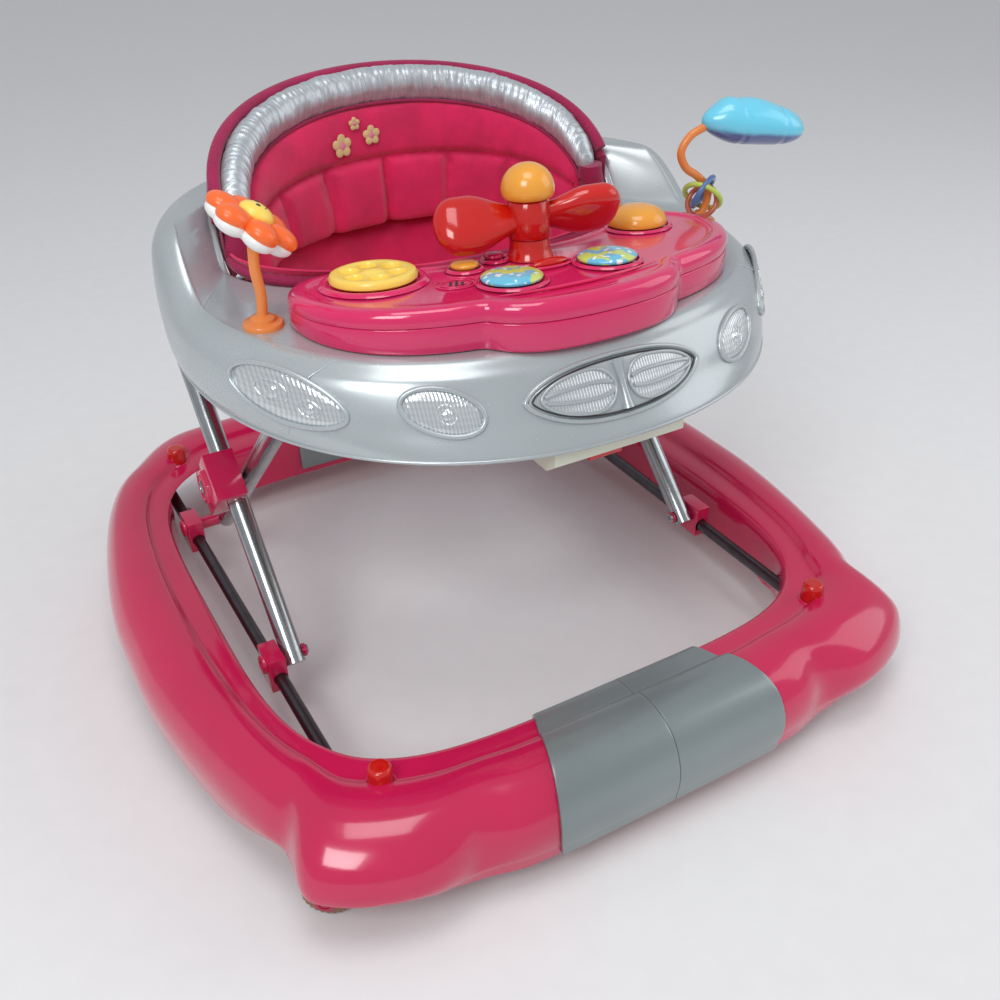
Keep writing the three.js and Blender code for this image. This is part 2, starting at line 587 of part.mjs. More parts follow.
/** The spinner: a fixed pillar, a turning hub with two paddles and a dome on top. */
function buildSpinner() {
  const { x, y, top } = SPINNER;
  const foot = TOY.top + GAP;
  const pillar = turned(
    [[0, foot], [16.5, foot], [15.5, foot + 14], [4, foot + 14], [4, foot + 43], [0, foot + 43]], 16,
  );
  add('spinner_pillar', leaned(at(pillar, x, y, 0)), COLOUR.red);
  const hub = turned(
    [[4.4, foot + 14.4], [17, foot + 14.4], [16, foot + 42.6], [4.4, foot + 42.6], [4.4, foot + 14.4]], 16,
  );
  const paddle = new THREE.Shape();
  paddle.moveTo(12, -7);
  paddle.bezierCurveTo(30, -9, 34, -21, 56, -21);
  paddle.bezierCurveTo(74, -20, 76, 16, 56, 20);
  paddle.bezierCurveTo(40, 24, 24, 12, 12, 10);
  const blade = new THREE.ExtrudeGeometry(paddle, {
    depth: 6, bevelEnabled: true, bevelSize: 2, bevelThickness: 2, bevelOffset: -2, bevelSegments: 1,
    curveSegments: 4,
  });
  blade.translate(0, 0, -3).rotateX(Math.PI / 2).rotateX(0.25).translate(0, 0, foot + 29);
  const other = blade.clone().rotateZ(Math.PI);
  add('spinner_rotor', leaned(at(joined(hub, blade, other).rotateZ(radians(-10)), x, y, 0)), COLOUR.red);
  const r = SPINNER.dome;
  const dome = turned([[0, foot + 43.4], [r - 2, foot + 43.4], [r, foot + 47], [r * 0.92, foot + 55],
    [r * 0.6, top - 2], [0, top]], 16);
  add('spinner_dome', leaned(at(dome, x, y, 0)), COLOUR.amber);
}

// ---------------------------------------------------------------- stalk toys
/** A stalk whose path bends in one upright plane that faces the given direction. */
function stalk(points, radius, heading) {
  const forward = new THREE.Vector3(Math.cos(heading), Math.sin(heading), 0);
  const curve = new THREE.CatmullRomCurve3(points.map(([u, z]) => forward.clone().multiplyScalar(u).setZ(z)));
  const normal = new THREE.Vector3(0, 0, 1).cross(forward).normalize();
  return bar(curve.getSpacedPoints(points.length * 2), radius, normal, 8);
}

const FLOWER = { x: -204, y: -79, z: 385.4, head: 455 };
const BIRD = { x: 219, y: -58, z: 385.4, heading: -8 * Math.PI / 180 };

function buildFlower() {
  const flange = turned([[0, 0], [15, 0], [15, 3], [6, 7], [0, 7]], 20);
  const stem = stalk([[0, 5], [1, 24], [-1, 43], [0, 62]], 4, 0);
  add('flower_stalk', at(joined(flange, stem), FLOWER.x, FLOWER.y, FLOWER.z), COLOUR.orange);
  const petals = Array.from({ length: 36 }, (_, i) => {
    const a = 2 * Math.PI * i / 36;
    const reach = 29 + 6 * Math.cos(6 * a);
    return new THREE.Vector2(reach * Math.cos(a), reach * Math.sin(a));
  });
  const disc = slab(new THREE.Shape(petals), -9, 9, 4, 1);
  const face = turned([[0, 8], [14, 8], [12, 14], [0, 16]], 20);
  const head = joined(disc, face).rotateY(radians(34)).rotateZ(radians(-12));
  add('flower_head', at(cut(head, post(0, 0, -60, -7, 4.4, 10)), FLOWER.x, FLOWER.y, FLOWER.head + 5), COLOUR.orange);
}

function buildBird() {
  const flange = turned([[0, 0], [14, 0], [14, 3], [6, 7], [0, 7]], 20);
  const path = [[0, 4], [6, 16], [6, 30], [-6, 42], [-19, 51], [-25, 65], [-17, 78], [-4, 84]];
  const wave = joined(flange, stalk(path, 3.6, BIRD.heading));
  add('bird_stalk', at(wave, BIRD.x, BIRD.y, BIRD.z), COLOUR.orange);
  const rings = Array.from({ length: 13 }, (_, i) => {
    const t = i / 12;
    const fat = Math.sin(Math.PI * (0.06 + 0.88 * t)) ** 0.6;
    const [u, z] = [-2 + 108 * t, 88 - 16 * t ** 1.5];
    return Array.from({ length: 14 }, (_, k) => {
      const a = 2 * Math.PI * k / 14;
      return new THREE.Vector3(u, 19 * fat * Math.cos(a), z + (17 - 5 * t) * fat * Math.sin(a));
    });
  });
  const body = loft(rings).rotateZ(BIRD.heading - radians(4));
  const hollow = stalk(path.slice(-4), 4.2, BIRD.heading);
  add('bird_body', at(cut(body, hollow), BIRD.x, BIRD.y, BIRD.z), COLOUR.blue);
  const ring = new THREE.TorusGeometry(17, 2.4, 6, 18).rotateY(radians(50)).rotateZ(0.5);
  add('toy_ring', at(ring, BIRD.x, BIRD.y, BIRD.z + 23), COLOUR.yellow);
}

// ---------------------------------------------------------------- seat
/** A point of the seat back in plan, from -90 degrees at the left end to 90 at the right end. */
function seatPoint(angle, grow, z) {
  return new THREE.Vector3(
    (SEAT.halfWidth + grow) * Math.sin(angle), SEAT.centreY + (SEAT.halfDepth + grow) * Math.cos(angle), z,
  );
}

/** Height of the seat back's top edge. */
const seatTop = (angle) => SEAT.bottom + (SEAT.top - SEAT.bottom) * Math.max(Math.cos(angle), 0.02) ** 0.45;

function buildSeat() {
  const angles = Array.from({ length: 21 }, (_, i) => radians(-84 + 8.4 * i));
  const panel = loft(angles.map((a) => {
    const top = Math.max(seatTop(a) - 33, SEAT.bottom + 8);
    const lean = (top - SEAT.bottom) * 0.12;
    return [seatPoint(a, -30, SEAT.bottom), seatPoint(a, -24 + lean, top), seatPoint(a, -10 + lean, top),
      seatPoint(a, -14, SEAT.bottom)];
  }));
  add('seat_backrest', panel, COLOUR.fabric);
  const bolster = loft(angles.map((a) => {
    const middle = Math.max(seatTop(a) - 15, SEAT.bottom + 26);
    return Array.from({ length: 10 }, (_, k) => {
      const t = 2 * Math.PI * k / 10;
      return seatPoint(a, -4 + 13 * Math.cos(t), middle + 16 * Math.sin(t));
    });
  }));
  add('seat_bolster', bolster, COLOUR.satin);
  add('seat_pouch', seatPouch(), COLOUR.fabric);
}

/** The sling that the child sits in, open at the top, with a hole for each leg. */
function seatPouch() {
  const depth = (grow) => {
    const levels = [[1, 374], [0.97, 340], [0.86, 290], [0.72, 250], [0.5, 228], [0.22, SEAT.pouchBottom]];
    return loft(levels.map(([share, z]) => Array.from({ length: 20 }, (_, k) => {
      const t = 2 * Math.PI * k / 20;
      const x = (150 * share + grow) * Math.cos(t);
      return new THREE.Vector3(x, TRAY.holeY + (100 * share + grow) * Math.sin(t), z - grow * (z < 300 ? 1 : 0));
    })));
  };
  const cavity = joined(depth(-6), slab(ellipseShape(143.9, 93.9), 373, 400, 0, 14).translate(0, TRAY.holeY, 0));
  const leg = (side) => new THREE.CylinderGeometry(38, 38, 160, 14).rotateX(radians(90 - 32))
    .translate(side * 58, -5, 240);
  return cut(depth(0), cavity, leg(-1), leg(1));
}

buildBase();
buildStoppers();
buildCastors();
buildLinkage();
buildTray();
buildLampsAndGrille();
buildToyTray();
buildSpinner();
buildFlower();
buildBird();
buildSeat();

export default object;
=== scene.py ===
"""Looks of a baby walker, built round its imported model.

Sizes in the classes are millimetres in the model's own frame: -Y is the front, +Z is up and the floor is z 0.
The workbench turns them into metres when it sets down a mesh.
"""

from __future__ import annotations

import json
import logging
import math
from dataclasses import dataclass, field
from enum import Enum
from typing import Any, Callable, Iterable, Sequence

import bpy
from mathutils import Matrix, Vector, noise


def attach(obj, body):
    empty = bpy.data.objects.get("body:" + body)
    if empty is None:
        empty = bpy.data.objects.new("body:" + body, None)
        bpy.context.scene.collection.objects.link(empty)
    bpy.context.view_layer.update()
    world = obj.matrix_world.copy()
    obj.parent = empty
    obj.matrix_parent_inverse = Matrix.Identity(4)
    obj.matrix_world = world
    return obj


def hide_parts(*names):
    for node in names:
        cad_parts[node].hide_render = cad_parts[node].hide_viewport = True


log = logging.getLogger("walker")
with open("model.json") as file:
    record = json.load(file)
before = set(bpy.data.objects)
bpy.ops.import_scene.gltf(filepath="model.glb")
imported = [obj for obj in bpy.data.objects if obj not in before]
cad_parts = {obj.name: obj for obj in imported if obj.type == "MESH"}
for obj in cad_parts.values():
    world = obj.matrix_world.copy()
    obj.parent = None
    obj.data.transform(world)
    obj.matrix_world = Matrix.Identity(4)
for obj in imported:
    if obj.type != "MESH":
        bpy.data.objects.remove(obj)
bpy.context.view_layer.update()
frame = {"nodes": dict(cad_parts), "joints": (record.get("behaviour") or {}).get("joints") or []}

MM = 0.001
Rule = Callable[[float, float], Vector]
Colour = tuple[int, int, int]
Profile = Sequence[tuple[float, float]]
SIDES = (("left", -1), ("right", 1))
ENDS = (("front", -1), ("rear", 1))


# ---------------------------------------------------------------- sums on numbers and paths
def smooth(x: float, low: float, high: float) -> float:
    """Rises from 0 at low to 1 at high with no corners."""
    t = min(max((x - low) / (high - low), 0.0), 1.0)
    return t * t * (3 - 2 * t)


def lerp(a: float, b: float, t: float) -> float:
    """The number that lies the share t of the way from a to b."""
    return a + (b - a) * t


def bell(x: float, middle: float, width: float, power: float = 2) -> float:
    """1 at middle, falling to nothing a little past width on either side."""
    return math.exp(-(abs((x - middle) / width) ** power))


def turns(count: int) -> list[float]:
    """Even steps of angle once round, in radians."""
    return [2 * math.pi * i / count for i in range(count)]


def spline(points: Sequence[Sequence[float]], t: float, closed: bool = False) -> list[float]:
    """A point on the smooth curve through some points.

    Args:
        points: The points, each a list of numbers.
        t: The place along the curve, from 0 to 1.
        closed: Whether the curve joins up.

    Returns:
        The numbers at that place.
    """
    n = len(points)
    spans = n if closed else n - 1
    whole = min(int(t * spans), spans - 1)
    f = t * spans - whole

    def pick(i: int) -> Sequence[float]:
        return points[i % n] if closed else points[min(max(i, 0), n - 1)]

    a, b, c, d = (pick(whole + k) for k in (-1, 0, 1, 2))
    return [
        0.5 * (2 * q + (r - p) * f + (2 * p - 5 * q + 4 * r - s) * f * f + (3 * q - p - 3 * r + s) * f ** 3)
        for p, q, r, s in zip(a, b, c, d)
    ]


def leaned(point: Vector) -> Vector:
    """The toy tray's top falls gently towards the child: turns a point about the tray's middle."""
    pivot = Vector((0, -140, 414))
    return Matrix.Rotation(math.radians(-6), 3, "X") @ (point - pivot) + pivot


# ---------------------------------------------------------------- finishes
class Value:
    """A number in a material's nodes that can be used in sums."""

    def __init__(self, net: Net, socket: bpy.types.NodeSocket) -> None:
        """Keeps the socket and the net that it belongs to."""
        self.net, self.socket = net, socket

    def sum(self, operation: str, *others: Any) -> Value:
        """A Math node on this number and the others."""
        return self.net.value("ShaderNodeMath", {"operation": operation},
                              {i: v for i, v in enumerate((self, *others))})

    def __add__(self, other: Any) -> Value:
        """Sum."""
        return self.sum("ADD", other)

    def __mul__(self, other: Any) -> Value:
        """Product."""
        return self.sum("MULTIPLY", other)

    __radd__, __rmul__ = __add__, __mul__

    def sine(self) -> Value:
        """Sine of the number."""
        return self.sum("SINE")

    def step(self, low: float, high: float) -> Value:
        """0 below low and 1 above high, smooth between."""
        return self.net.value(
            "ShaderNodeMapRange", {"interpolation_type": "SMOOTHSTEP"},
            {"Value": self, "From Min": low, "From Max": high}
        )


class Net:
    """The nodes of one material."""

    def __init__(self, name: str) -> None:
        """Starts a material with nothing in it."""
        self.material = bpy.data.materials.new(name)
        self.material.use_nodes = True
        self.tree = self.material.node_tree
        self.tree.nodes.clear()

    def node(self, kind: str, settings: dict[str, Any] | None = None,
             sockets: dict[Any, Any] | None = None) -> bpy.types.Node:
        """Adds one node.

        Args:
            kind: The node's type.
            settings: Its own settings, which are set first.
            sockets: Values or links of its inputs, by name or number.

        Returns:
            The node.
        """
        made = self.tree.nodes.new(kind)
        for key, setting in (settings or {}).items():
            setattr(made, key, setting)
        for key, value in (sockets or {}).items():
            source = value.socket if isinstance(value, Value) else value
            if isinstance(source, bpy.types.NodeSocket):
                self.tree.links.new(source, made.inputs[key])
            else:
                made.inputs[key].default_value = source
        return made

    def value(self, kind: str, settings: dict[str, Any] | None = None,
              sockets: dict[Any, Any] | None = None, out: Any = 0) -> Value:
        """Adds a node and gives one of its outputs as a number."""
        return Value(self, self.node(kind, settings, sockets).outputs[out])

    def place(self, scale: tuple[float, float, float] = (1, 1, 1), uv: bool = False) -> Value:
        """The place on the piece in metres, or on its own UV map, stretched by scale."""
        source = self.value("ShaderNodeTexCoord", out="UV" if uv else "Object")
        return self.value("ShaderNodeMapping", {}, {"Vector": source, "Scale": scale})

    def axes(self, place: Value) -> list[Value]:
        """The three numbers of a place."""
        parts = self.node("ShaderNodeSeparateXYZ", {}, {0: place})
        return [Value(self, parts.outputs[i]) for i in range(3)]

    def noise(self, place: Value, scale: float, detail: float = 3, roughness: float = 0.5) -> Value:
        """Cloudy noise from 0 to 1."""
        return self.value(
            "ShaderNodeTexNoise", {}, {"Vector": place, "Scale": scale, "Detail": detail,
                                       "Roughness": roughness}
        )

    def cells(self, place: Value, scale: float) -> Value:
        """Distance to the nearest of many scattered points."""
        return self.value("ShaderNodeTexVoronoi", {}, {"Vector": place, "Scale": scale})

    def mix(self, share: Any, first: Any, second: Any) -> Value:
        """A colour between two colours."""
        made = self.node("ShaderNodeMix", {"data_type": "RGBA"}, {0: share, 6: first, 7: second})
        return Value(self, made.outputs[2])

    def bump(self, height: Value, depth_mm: float, strength: float = 1.0) -> Value:
        """A normal that follows a height from 0 to 1."""
        return self.value("ShaderNodeBump", {}, {"Height": height, "Distance": depth_mm * MM,
                                                 "Strength": strength})

    def shade(self, **sockets: Any) -> bpy.types.Material:
        """Ends the material with one shader, whose sockets are named with spaces as underlines."""
        shader = self.node("ShaderNodeBsdfPrincipled", {},
                           {k.replace("_", " "): v for k, v in sockets.items()})
        self.node("ShaderNodeOutputMaterial", {}, {"Surface": shader.outputs[0]})
        return self.material


def paint(colour: Colour, gain: float = 1.0) -> tuple[float, float, float, float]:
    """The linear colour of an everyday 0 to 255 colour."""
    def line(c: float) -> float:
        c = min(max(c / 255, 0), 1)
        return (c / 12.92 if c < 0.04045 else ((c + 0.055) / 1.055) ** 2.4) * gain
    return (*map(line, colour), 1.0)


@dataclass(frozen=True)
class Finish:
    """What a surface is made of; slot is the material slot that it stands for, and is not used."""

    name: str
    slot: str
    colour: Colour

    def material(self) -> bpy.types.Material:
        """The finish's material, made once."""
        name = f"{self.name}_finish"
        return bpy.data.materials.get(name) or self.mix(Net(name))

    def mix(self, net: Net) -> bpy.types.Material:
        """Builds the nodes; each kind of finish has its own."""
        raise NotImplementedError


@dataclass(frozen=True)
class Moulded(Finish):
    """Moulded plastic: cloudy depth, a fine skin texture, faint rubbing marks and a clear gloss over it."""

    roughness: float = 0.2
    coat: float = 0.5
    metal: float = 0.0
    skin: float = 0.06
    clear: float = 0.0
    # Share of painted glints on the pearl's flakes.
    flake_glints: float = 0.0

    def mix(self, net: Net) -> bpy.types.Material:
        """Builds the plastic."""
        place = net.place()
        cloud = net.noise(place, 7, 3)
        fine = net.noise(place, 620, 2)
        rubbed = net.noise(net.place((3, 1, 9)), 60, 5, 0.7).step(0.62, 0.8)
        tone = net.mix(cloud.step(0.25, 0.75), paint(self.colour, 0.9), paint(self.colour, 1.06))
        if self.flake_glints:
            # The pearl's flakes are real, but their sparkle is painted as near-white glints in the base
            # colour.
            glint = net.cells(place, 2600).step(0.4, 0.05)
            tone = net.mix(glint * self.flake_glints, tone, paint((240, 244, 246)))
        tone = net.mix(rubbed * 0.06, tone, paint(self.colour, 1.5))
        rough = cloud * 0.06 + rubbed * 0.08 + fine * 0.04 + (self.roughness - 0.05)
        return net.shade(
            Base_Color=tone, Roughness=rough, Metallic=self.metal, Coat_Weight=self.coat,
            Coat_Roughness=0.06,
            Transmission_Weight=self.clear, IOR=1.49, Normal=net.bump(fine + cloud, self.skin, 0.35),
        )


@dataclass(frozen=True)
class Steel(Finish):
    """Plated steel tube with drawing marks and fingerprints."""

    roughness: float = 0.2

    def mix(self, net: Net) -> bpy.types.Material:
        """Builds the plating."""
        drawn = net.noise(net.place((1, 0.05, 0.05)), 1400, 3)
        prints = net.noise(net.place(), 45, 4, 0.65)
        tone = net.mix(prints.step(0.35, 0.75), paint(self.colour), paint(self.colour, 0.78))
        rough = drawn * 0.1 + prints.step(0.45, 0.75) * 0.1 + (self.roughness - 0.06)
        return net.shade(Base_Color=tone, Roughness=rough, Metallic=0.95, Normal=net.bump(drawn, 0.03, 0.3))


@dataclass(frozen=True)
class Ribbed(Finish):
    """A clear moulded lens over a bright back, with fine upright ribs."""

    pitch: float = 2.4

    def mix(self, net: Net) -> bpy.types.Material:
        """Builds the lens."""
        x, _, z = net.axes(net.place())
        wave = 2 * math.pi / (self.pitch * MM)
        ribs = (x * wave).sine() * 0.5 + 0.5
        rows = (z * (wave * 0.6)).sine() * 0.5 + 0.5
        haze = net.noise(net.place(), 30, 3)
        tone = net.mix(ribs * 0.45 + rows * 0.15, paint(self.colour), paint(self.colour, 0.55))
        return net.shade(
            Base_Color=tone, Roughness=haze * 0.1 + 0.08, Metallic=0.55, Coat_Weight=1.0,
            Coat_Roughness=0.03,
            Normal=net.bump(ribs * 0.8 + rows * 0.2, 0.5, 0.6),
        )


@dataclass(frozen=True)
class Woven(Finish):
    """Plain woven polyester: crossing threads, soft sheen, painted shade in the creases with painted light on
    the folds, and painted shade on the weave.
    """

    thread: float = 0.9
    rough: float = 0.78
    sheen: float = 0.35
    # Extra painted shade on the weave.
    weave_shade: float = 0.0

    def mix(self, net: Net) -> bpy.types.Material:
        """Builds the cloth."""
        place = net.place()
        x, y, z = net.axes(place)
        wave = 2 * math.pi / (self.thread * MM)
        weave = ((x + y * 0.6) * wave).sine() * (z * wave).sine()
        slub = net.noise(net.place((1, 1, 6)), 180, 3)
        fold = net.noise(place, 26, 4, 0.6)
        # Painted shade and light: darker in the creases' hollows, lighter on the folds' tops.
        tone = net.mix(fold.step(0.3, 0.75), paint(self.colour, 0.82), paint(self.colour, 1.1))
        # Painted shade: the weave pattern darkens the colour.
        tone = net.mix((weave * 0.5 + 0.5) * (0.12 + self.weave_shade), tone, paint(self.colour, 0.6))
        height = weave * 0.22 + slub * 0.25 + fold * 0.9
        return net.shade(
            Base_Color=tone, Roughness=slub * 0.12 + (self.rough - 0.06), Sheen_Weight=self.sheen,
            Sheen_Roughness=0.4, Normal=net.bump(height, 1.3, 0.55),
        )


@dataclass(frozen=True)
class Satin(Finish):
    """Silver satin: a metal-like thread with tight gathers across its length, with painted shade in their
    hollows and painted light on their crests.
    """

    def mix(self, net: Net) -> bpy.types.Material:
        """Builds the satin."""
        gathers = net.noise(net.place((150, 3, 1), uv=True), 1, 4, 0.65)
        broad = net.noise(net.place((34, 2, 1), uv=True), 1, 3)
        # Painted shade and light: darker in the gathers' hollows, lighter on their crests.
        tone = net.mix(gathers.step(0.3, 0.7), paint(self.colour, 0.84), paint(self.colour, 1.1))
        return net.shade(
            Base_Color=tone, Roughness=gathers * 0.14 + 0.24, Metallic=0.55, Sheen_Weight=0.1,
            Normal=net.bump(gathers * 0.6 + broad, 2.0, 0.6),
        )


@dataclass(frozen=True)
class Printed(Finish):
    """Glossy plastic with a patchy printed picture of no particular thing."""

    ink: Colour = (205, 222, 110)
    second: Colour = (240, 248, 250)

    def mix(self, net: Net) -> bpy.types.Material:
        """Builds the print."""
        place = net.place()
        patches = net.noise(place, 75, 1).step(0.53, 0.56)
        specks = net.noise(place, 210, 0).step(0.66, 0.69)
        tone = net.mix(patches, paint(self.colour), paint(self.ink))
        tone = net.mix(specks, tone, paint(self.second))
        return net.shade(
            Base_Color=tone, Roughness=patches * 0.08 + 0.18, Coat_Weight=0.7, Coat_Roughness=0.05,
            Normal=net.bump(patches, 0.12, 0.5),
        )


@dataclass(frozen=True)
class TwoTone(Finish):
    """Painted toy: one colour above, another below a soft line and a pale belly."""

    lower: Colour = (88, 106, 160)
    belly: Colour = (236, 240, 242)
    line: float = 496.0
    belly_line: float = 485.0

    def mix(self, net: Net) -> bpy.types.Material:
        """Builds the paint."""
        place = net.place()
        x, _, z = net.axes(place)
        height = z + x * 0.12
        spray = net.noise(place, 55, 3) * 0.004
        above = (height + spray).step((self.line - 1.5) * MM, (self.line + 3) * MM)
        under = (height + spray).step((self.belly_line + 1.5) * MM, (self.belly_line - 1.5) * MM)
        tone = net.mix(above, paint(self.lower), paint(self.colour))
        tone = net.mix(under, tone, paint(self.belly))
        fine = net.noise(place, 500, 2)
        return net.shade(
            Base_Color=tone, Roughness=fine * 0.1 + 0.2, Coat_Weight=0.5, Coat_Roughness=0.05,
            Normal=net.bump(fine, 0.05, 0.3),
        )


class Kit(Enum):
    """Every finish on the walker."""

    PINK = Moulded("pink_gloss", "pink_plastic", (206, 28, 82), 0.17, 0.5)
    CASTOR_PINK = Moulded("castor_pink", "pink_plastic", (176, 30, 70), 0.3, 0.3)
    COVER = Moulded("pearl_cover", "silver_plastic", (138, 148, 149), 0.3, 0.3, 0.4, 0.04, 0.0, 0.05)
    PEARL = Moulded("pearl_silver", "silver_plastic", (184, 192, 194), 0.26, 0.4, 0.4, 0.04, 0.0, 0.05)
    RED = Moulded("red_clear", "red_plastic", (214, 24, 14), 0.16, 0.5, 0.0, 0.04, 0.12)
    RUBBER = Moulded("foot_rubber", "clear_rubber", (214, 210, 200), 0.55, 0.0, 0.0, 0.3)
    ROLLER = Moulded("brown_roller", "brown_roller", (142, 98, 72), 0.28, 0.35, 0.0, 0.2)
    DARK = Moulded("dark_plastic", "dark_plastic", (58, 56, 58), 0.42, 0.1, 0.0, 0.3)
    CREAM = Moulded("cream_plastic", "cream_plastic", (226, 226, 208), 0.4, 0.15, 0.0, 0.25)
    TOY_PINK = Moulded("toy_pink", "toy_pink_plastic", (222, 36, 100), 0.15, 0.6)
    YELLOW = Moulded("yellow_plastic", "yellow_plastic", (252, 218, 96), 0.32, 0.2)
    AMBER = Moulded("amber_plastic", "amber_plastic", (238, 164, 56), 0.22, 0.4)
    ORANGE = Moulded("orange_plastic", "orange_plastic", (248, 108, 40), 0.3, 0.25)
    STALK = Moulded("stalk_orange", "orange_plastic", (238, 140, 66), 0.34, 0.3)
    GREEN = Moulded("green_plastic", "green_plastic", (196, 216, 96), 0.28, 0.4)
    BLUE = Moulded("blue_plastic", "blue_plastic", (86, 120, 176), 0.28, 0.4)
    RUST = Moulded("rust_plastic", "orange_plastic", (190, 92, 62), 0.3, 0.4)
    WHITE = Moulded("white_plastic", "cream_plastic", (238, 238, 236), 0.3, 0.3)
    PRINT = Printed("picture_print", "blue_plastic", (104, 196, 226))
    BIRD = TwoTone("bird_paint", "blue_plastic", (112, 214, 242))
    LENS = Ribbed("ribbed_lens", "clear_lens", (220, 226, 228))
    STEEL = Steel("plated_steel", "steel_tube", (176, 180, 182))
    RAIL = Steel("dark_rail", "dark_rail", (92, 88, 92), 0.34)
    CLOTH = Woven("seat_cloth", "seat_fabric", (228, 24, 92))
    PIPING = Woven("piping_cloth", "seat_fabric", (168, 26, 82), 2.2, 0.82, 0.3, 0.3)
    THREAD = Woven("cream_thread", "seat_fabric", (244, 214, 150), 0.7, 0.7, 0.3, 0.2)
    THREAD_PINK = Woven("pink_thread", "seat_fabric", (248, 150, 170), 0.7, 0.7, 0.3, 0.2)
    SATIN = Satin("silver_satin", "silver_satin", (196, 203, 208))


# ---------------------------------------------------------------- workbench
class Bench:
    """The steps that every piece is made with."""

    made: list[str] = []

    @staticmethod
    def clear() -> None:
        """Leaves nothing selected, in object mode."""
        if bpy.context.object and bpy.context.object.mode != "OBJECT":
            bpy.ops.object.mode_set(mode="OBJECT")
        bpy.ops.object.select_all(action="DESELECT")

    @staticmethod
    def hold(piece: bpy.types.Object) -> None:
        """Selects one piece and makes it the active one."""
        Bench.clear()
        piece.select_set(True)
        bpy.context.view_layer.objects.active = piece

    @staticmethod
    def edit(piece: bpy.types.Object, *steps: Callable[[], Any]) -> None:
        """Runs steps in edit mode with the whole mesh selected before each."""
        Bench.hold(piece)
        bpy.ops.object.mode_set(mode="EDIT")
        for step in steps:
            bpy.ops.mesh.select_all(action="SELECT")
            step()
        bpy.ops.object.mode_set(mode="OBJECT")

    @staticmethod
    def weld(piece: bpy.types.Object, closed: bool = True) -> None:
        """Merges points that lie together, and turns a closed skin's faces outwards."""
        steps = [lambda: bpy.ops.mesh.remove_doubles(threshold=2e-5)]
        if closed:
            steps.append(lambda: bpy.ops.mesh.normals_make_consistent(inside=False))
        Bench.edit(piece, *steps)

    @staticmethod
    def modify(piece: bpy.types.Object, kind: str, **settings: Any) -> None:
        """Adds a modifier with its settings and applies it."""
        Bench.hold(piece)
        modifier = piece.modifiers.new(kind.lower(), kind)
        for key, setting in settings.items():
            setattr(modifier, key, setting)
        bpy.ops.object.modifier_apply(modifier=modifier.name)

    @staticmethod
    def shaped(name: str, rule: Rule, columns: int, rows: int, closed: bool = True,
               flip: bool = False) -> bpy.types.Object:
        """A grid that is bent to a shape; edges that meet are joined.

        Args:
            name: The piece's name.
            rule: Gives the place in millimetres of a share across and a share along the grid.
            columns: Faces across.
            rows: Faces along.
            closed: Whether the shape is a closed skin.
            flip: Turns an open sheet's faces over.

        Returns:
            The piece.
        """
        Bench.clear()
        bpy.ops.mesh.primitive_grid_add(x_subdivisions=columns, y_subdivisions=rows, size=1)
        piece = bpy.context.object
        piece.name = piece.data.name = name
        for vertex in piece.data.vertices:
            vertex.co = rule(vertex.co.x + 0.5, vertex.co.y + 0.5) * MM
        Bench.weld(piece, closed)
        if flip:
            Bench.edit(piece, bpy.ops.mesh.flip_normals)
        return piece

    @staticmethod
    def walled(piece: bpy.types.Object, thickness: float, edge: float = 0.0) -> bpy.types.Object:
        """Gives an open sheet a wall inwards and, where edge is set, rounds its rim."""
        Bench.modify(piece, "SOLIDIFY", thickness=thickness * MM, offset=-1.0)
        if edge:
            Bench.modify(piece, "BEVEL", width=edge * MM, segments=2, limit_method="ANGLE",
                         angle_limit=math.radians(55))
        return piece

    @staticmethod
    def turned(name: str, profile: Profile, sides: int = 48, steps: int = 0) -> bpy.types.Object:
        """A round piece made by extruding and scaling a circle up a profile.

        Args:
            name: The piece's name.
            profile: Radius and height pairs from the bottom up.
            sides: Faces round it.
            steps: Where set, the profile is made smooth with this many spans.

        Returns:
            The piece, standing on the origin's axis.
        """
        path = [tuple(spline(profile, i / steps)) for i in range(steps + 1)] if steps else list(profile)
        path = [(max(r, 0.3), z) for r, z in path]
        radius, height = path[0]
        Bench.clear()
        bpy.ops.mesh.primitive_circle_add(vertices=sides, radius=radius * MM, location=(0, 0, height * MM))
        piece = bpy.context.object
        piece.name = piece.data.name = name
        bpy.ops.object.transform_apply(location=True, rotation=False, scale=False)
        bpy.ops.object.mode_set(mode="EDIT")
        bpy.ops.mesh.select_all(action="SELECT")
        for next_radius, next_height in path[1:]:
            rise = (0, 0, (next_height - height) * MM)
            bpy.ops.mesh.extrude_region_move(TRANSFORM_OT_translate={"value": rise})
            share = next_radius / radius
            bpy.ops.transform.resize(value=(share, share, 1), center_override=(0, 0, next_height * MM))
            radius, height = next_radius, next_height
        bpy.ops.mesh.select_all(action="SELECT")
        bpy.ops.mesh.fill_holes(sides=0)
        bpy.ops.object.mode_set(mode="OBJECT")
        Bench.weld(piece)
        return piece

    @staticmethod
    def ring(name: str, profile: Profile, sides: int, rows: int = 12) -> bpy.types.Object:
        """An open band: a smooth line through the profile's points, turned about the Z axis."""
        def rule(u: float, v: float) -> Vector:
            radius, height = spline(profile, v)
            return Vector((radius * math.cos(2 * math.pi * u), radius * math.sin(2 * math.pi * u), height))

        return Bench.shaped(name, rule, sides, rows, closed=False)

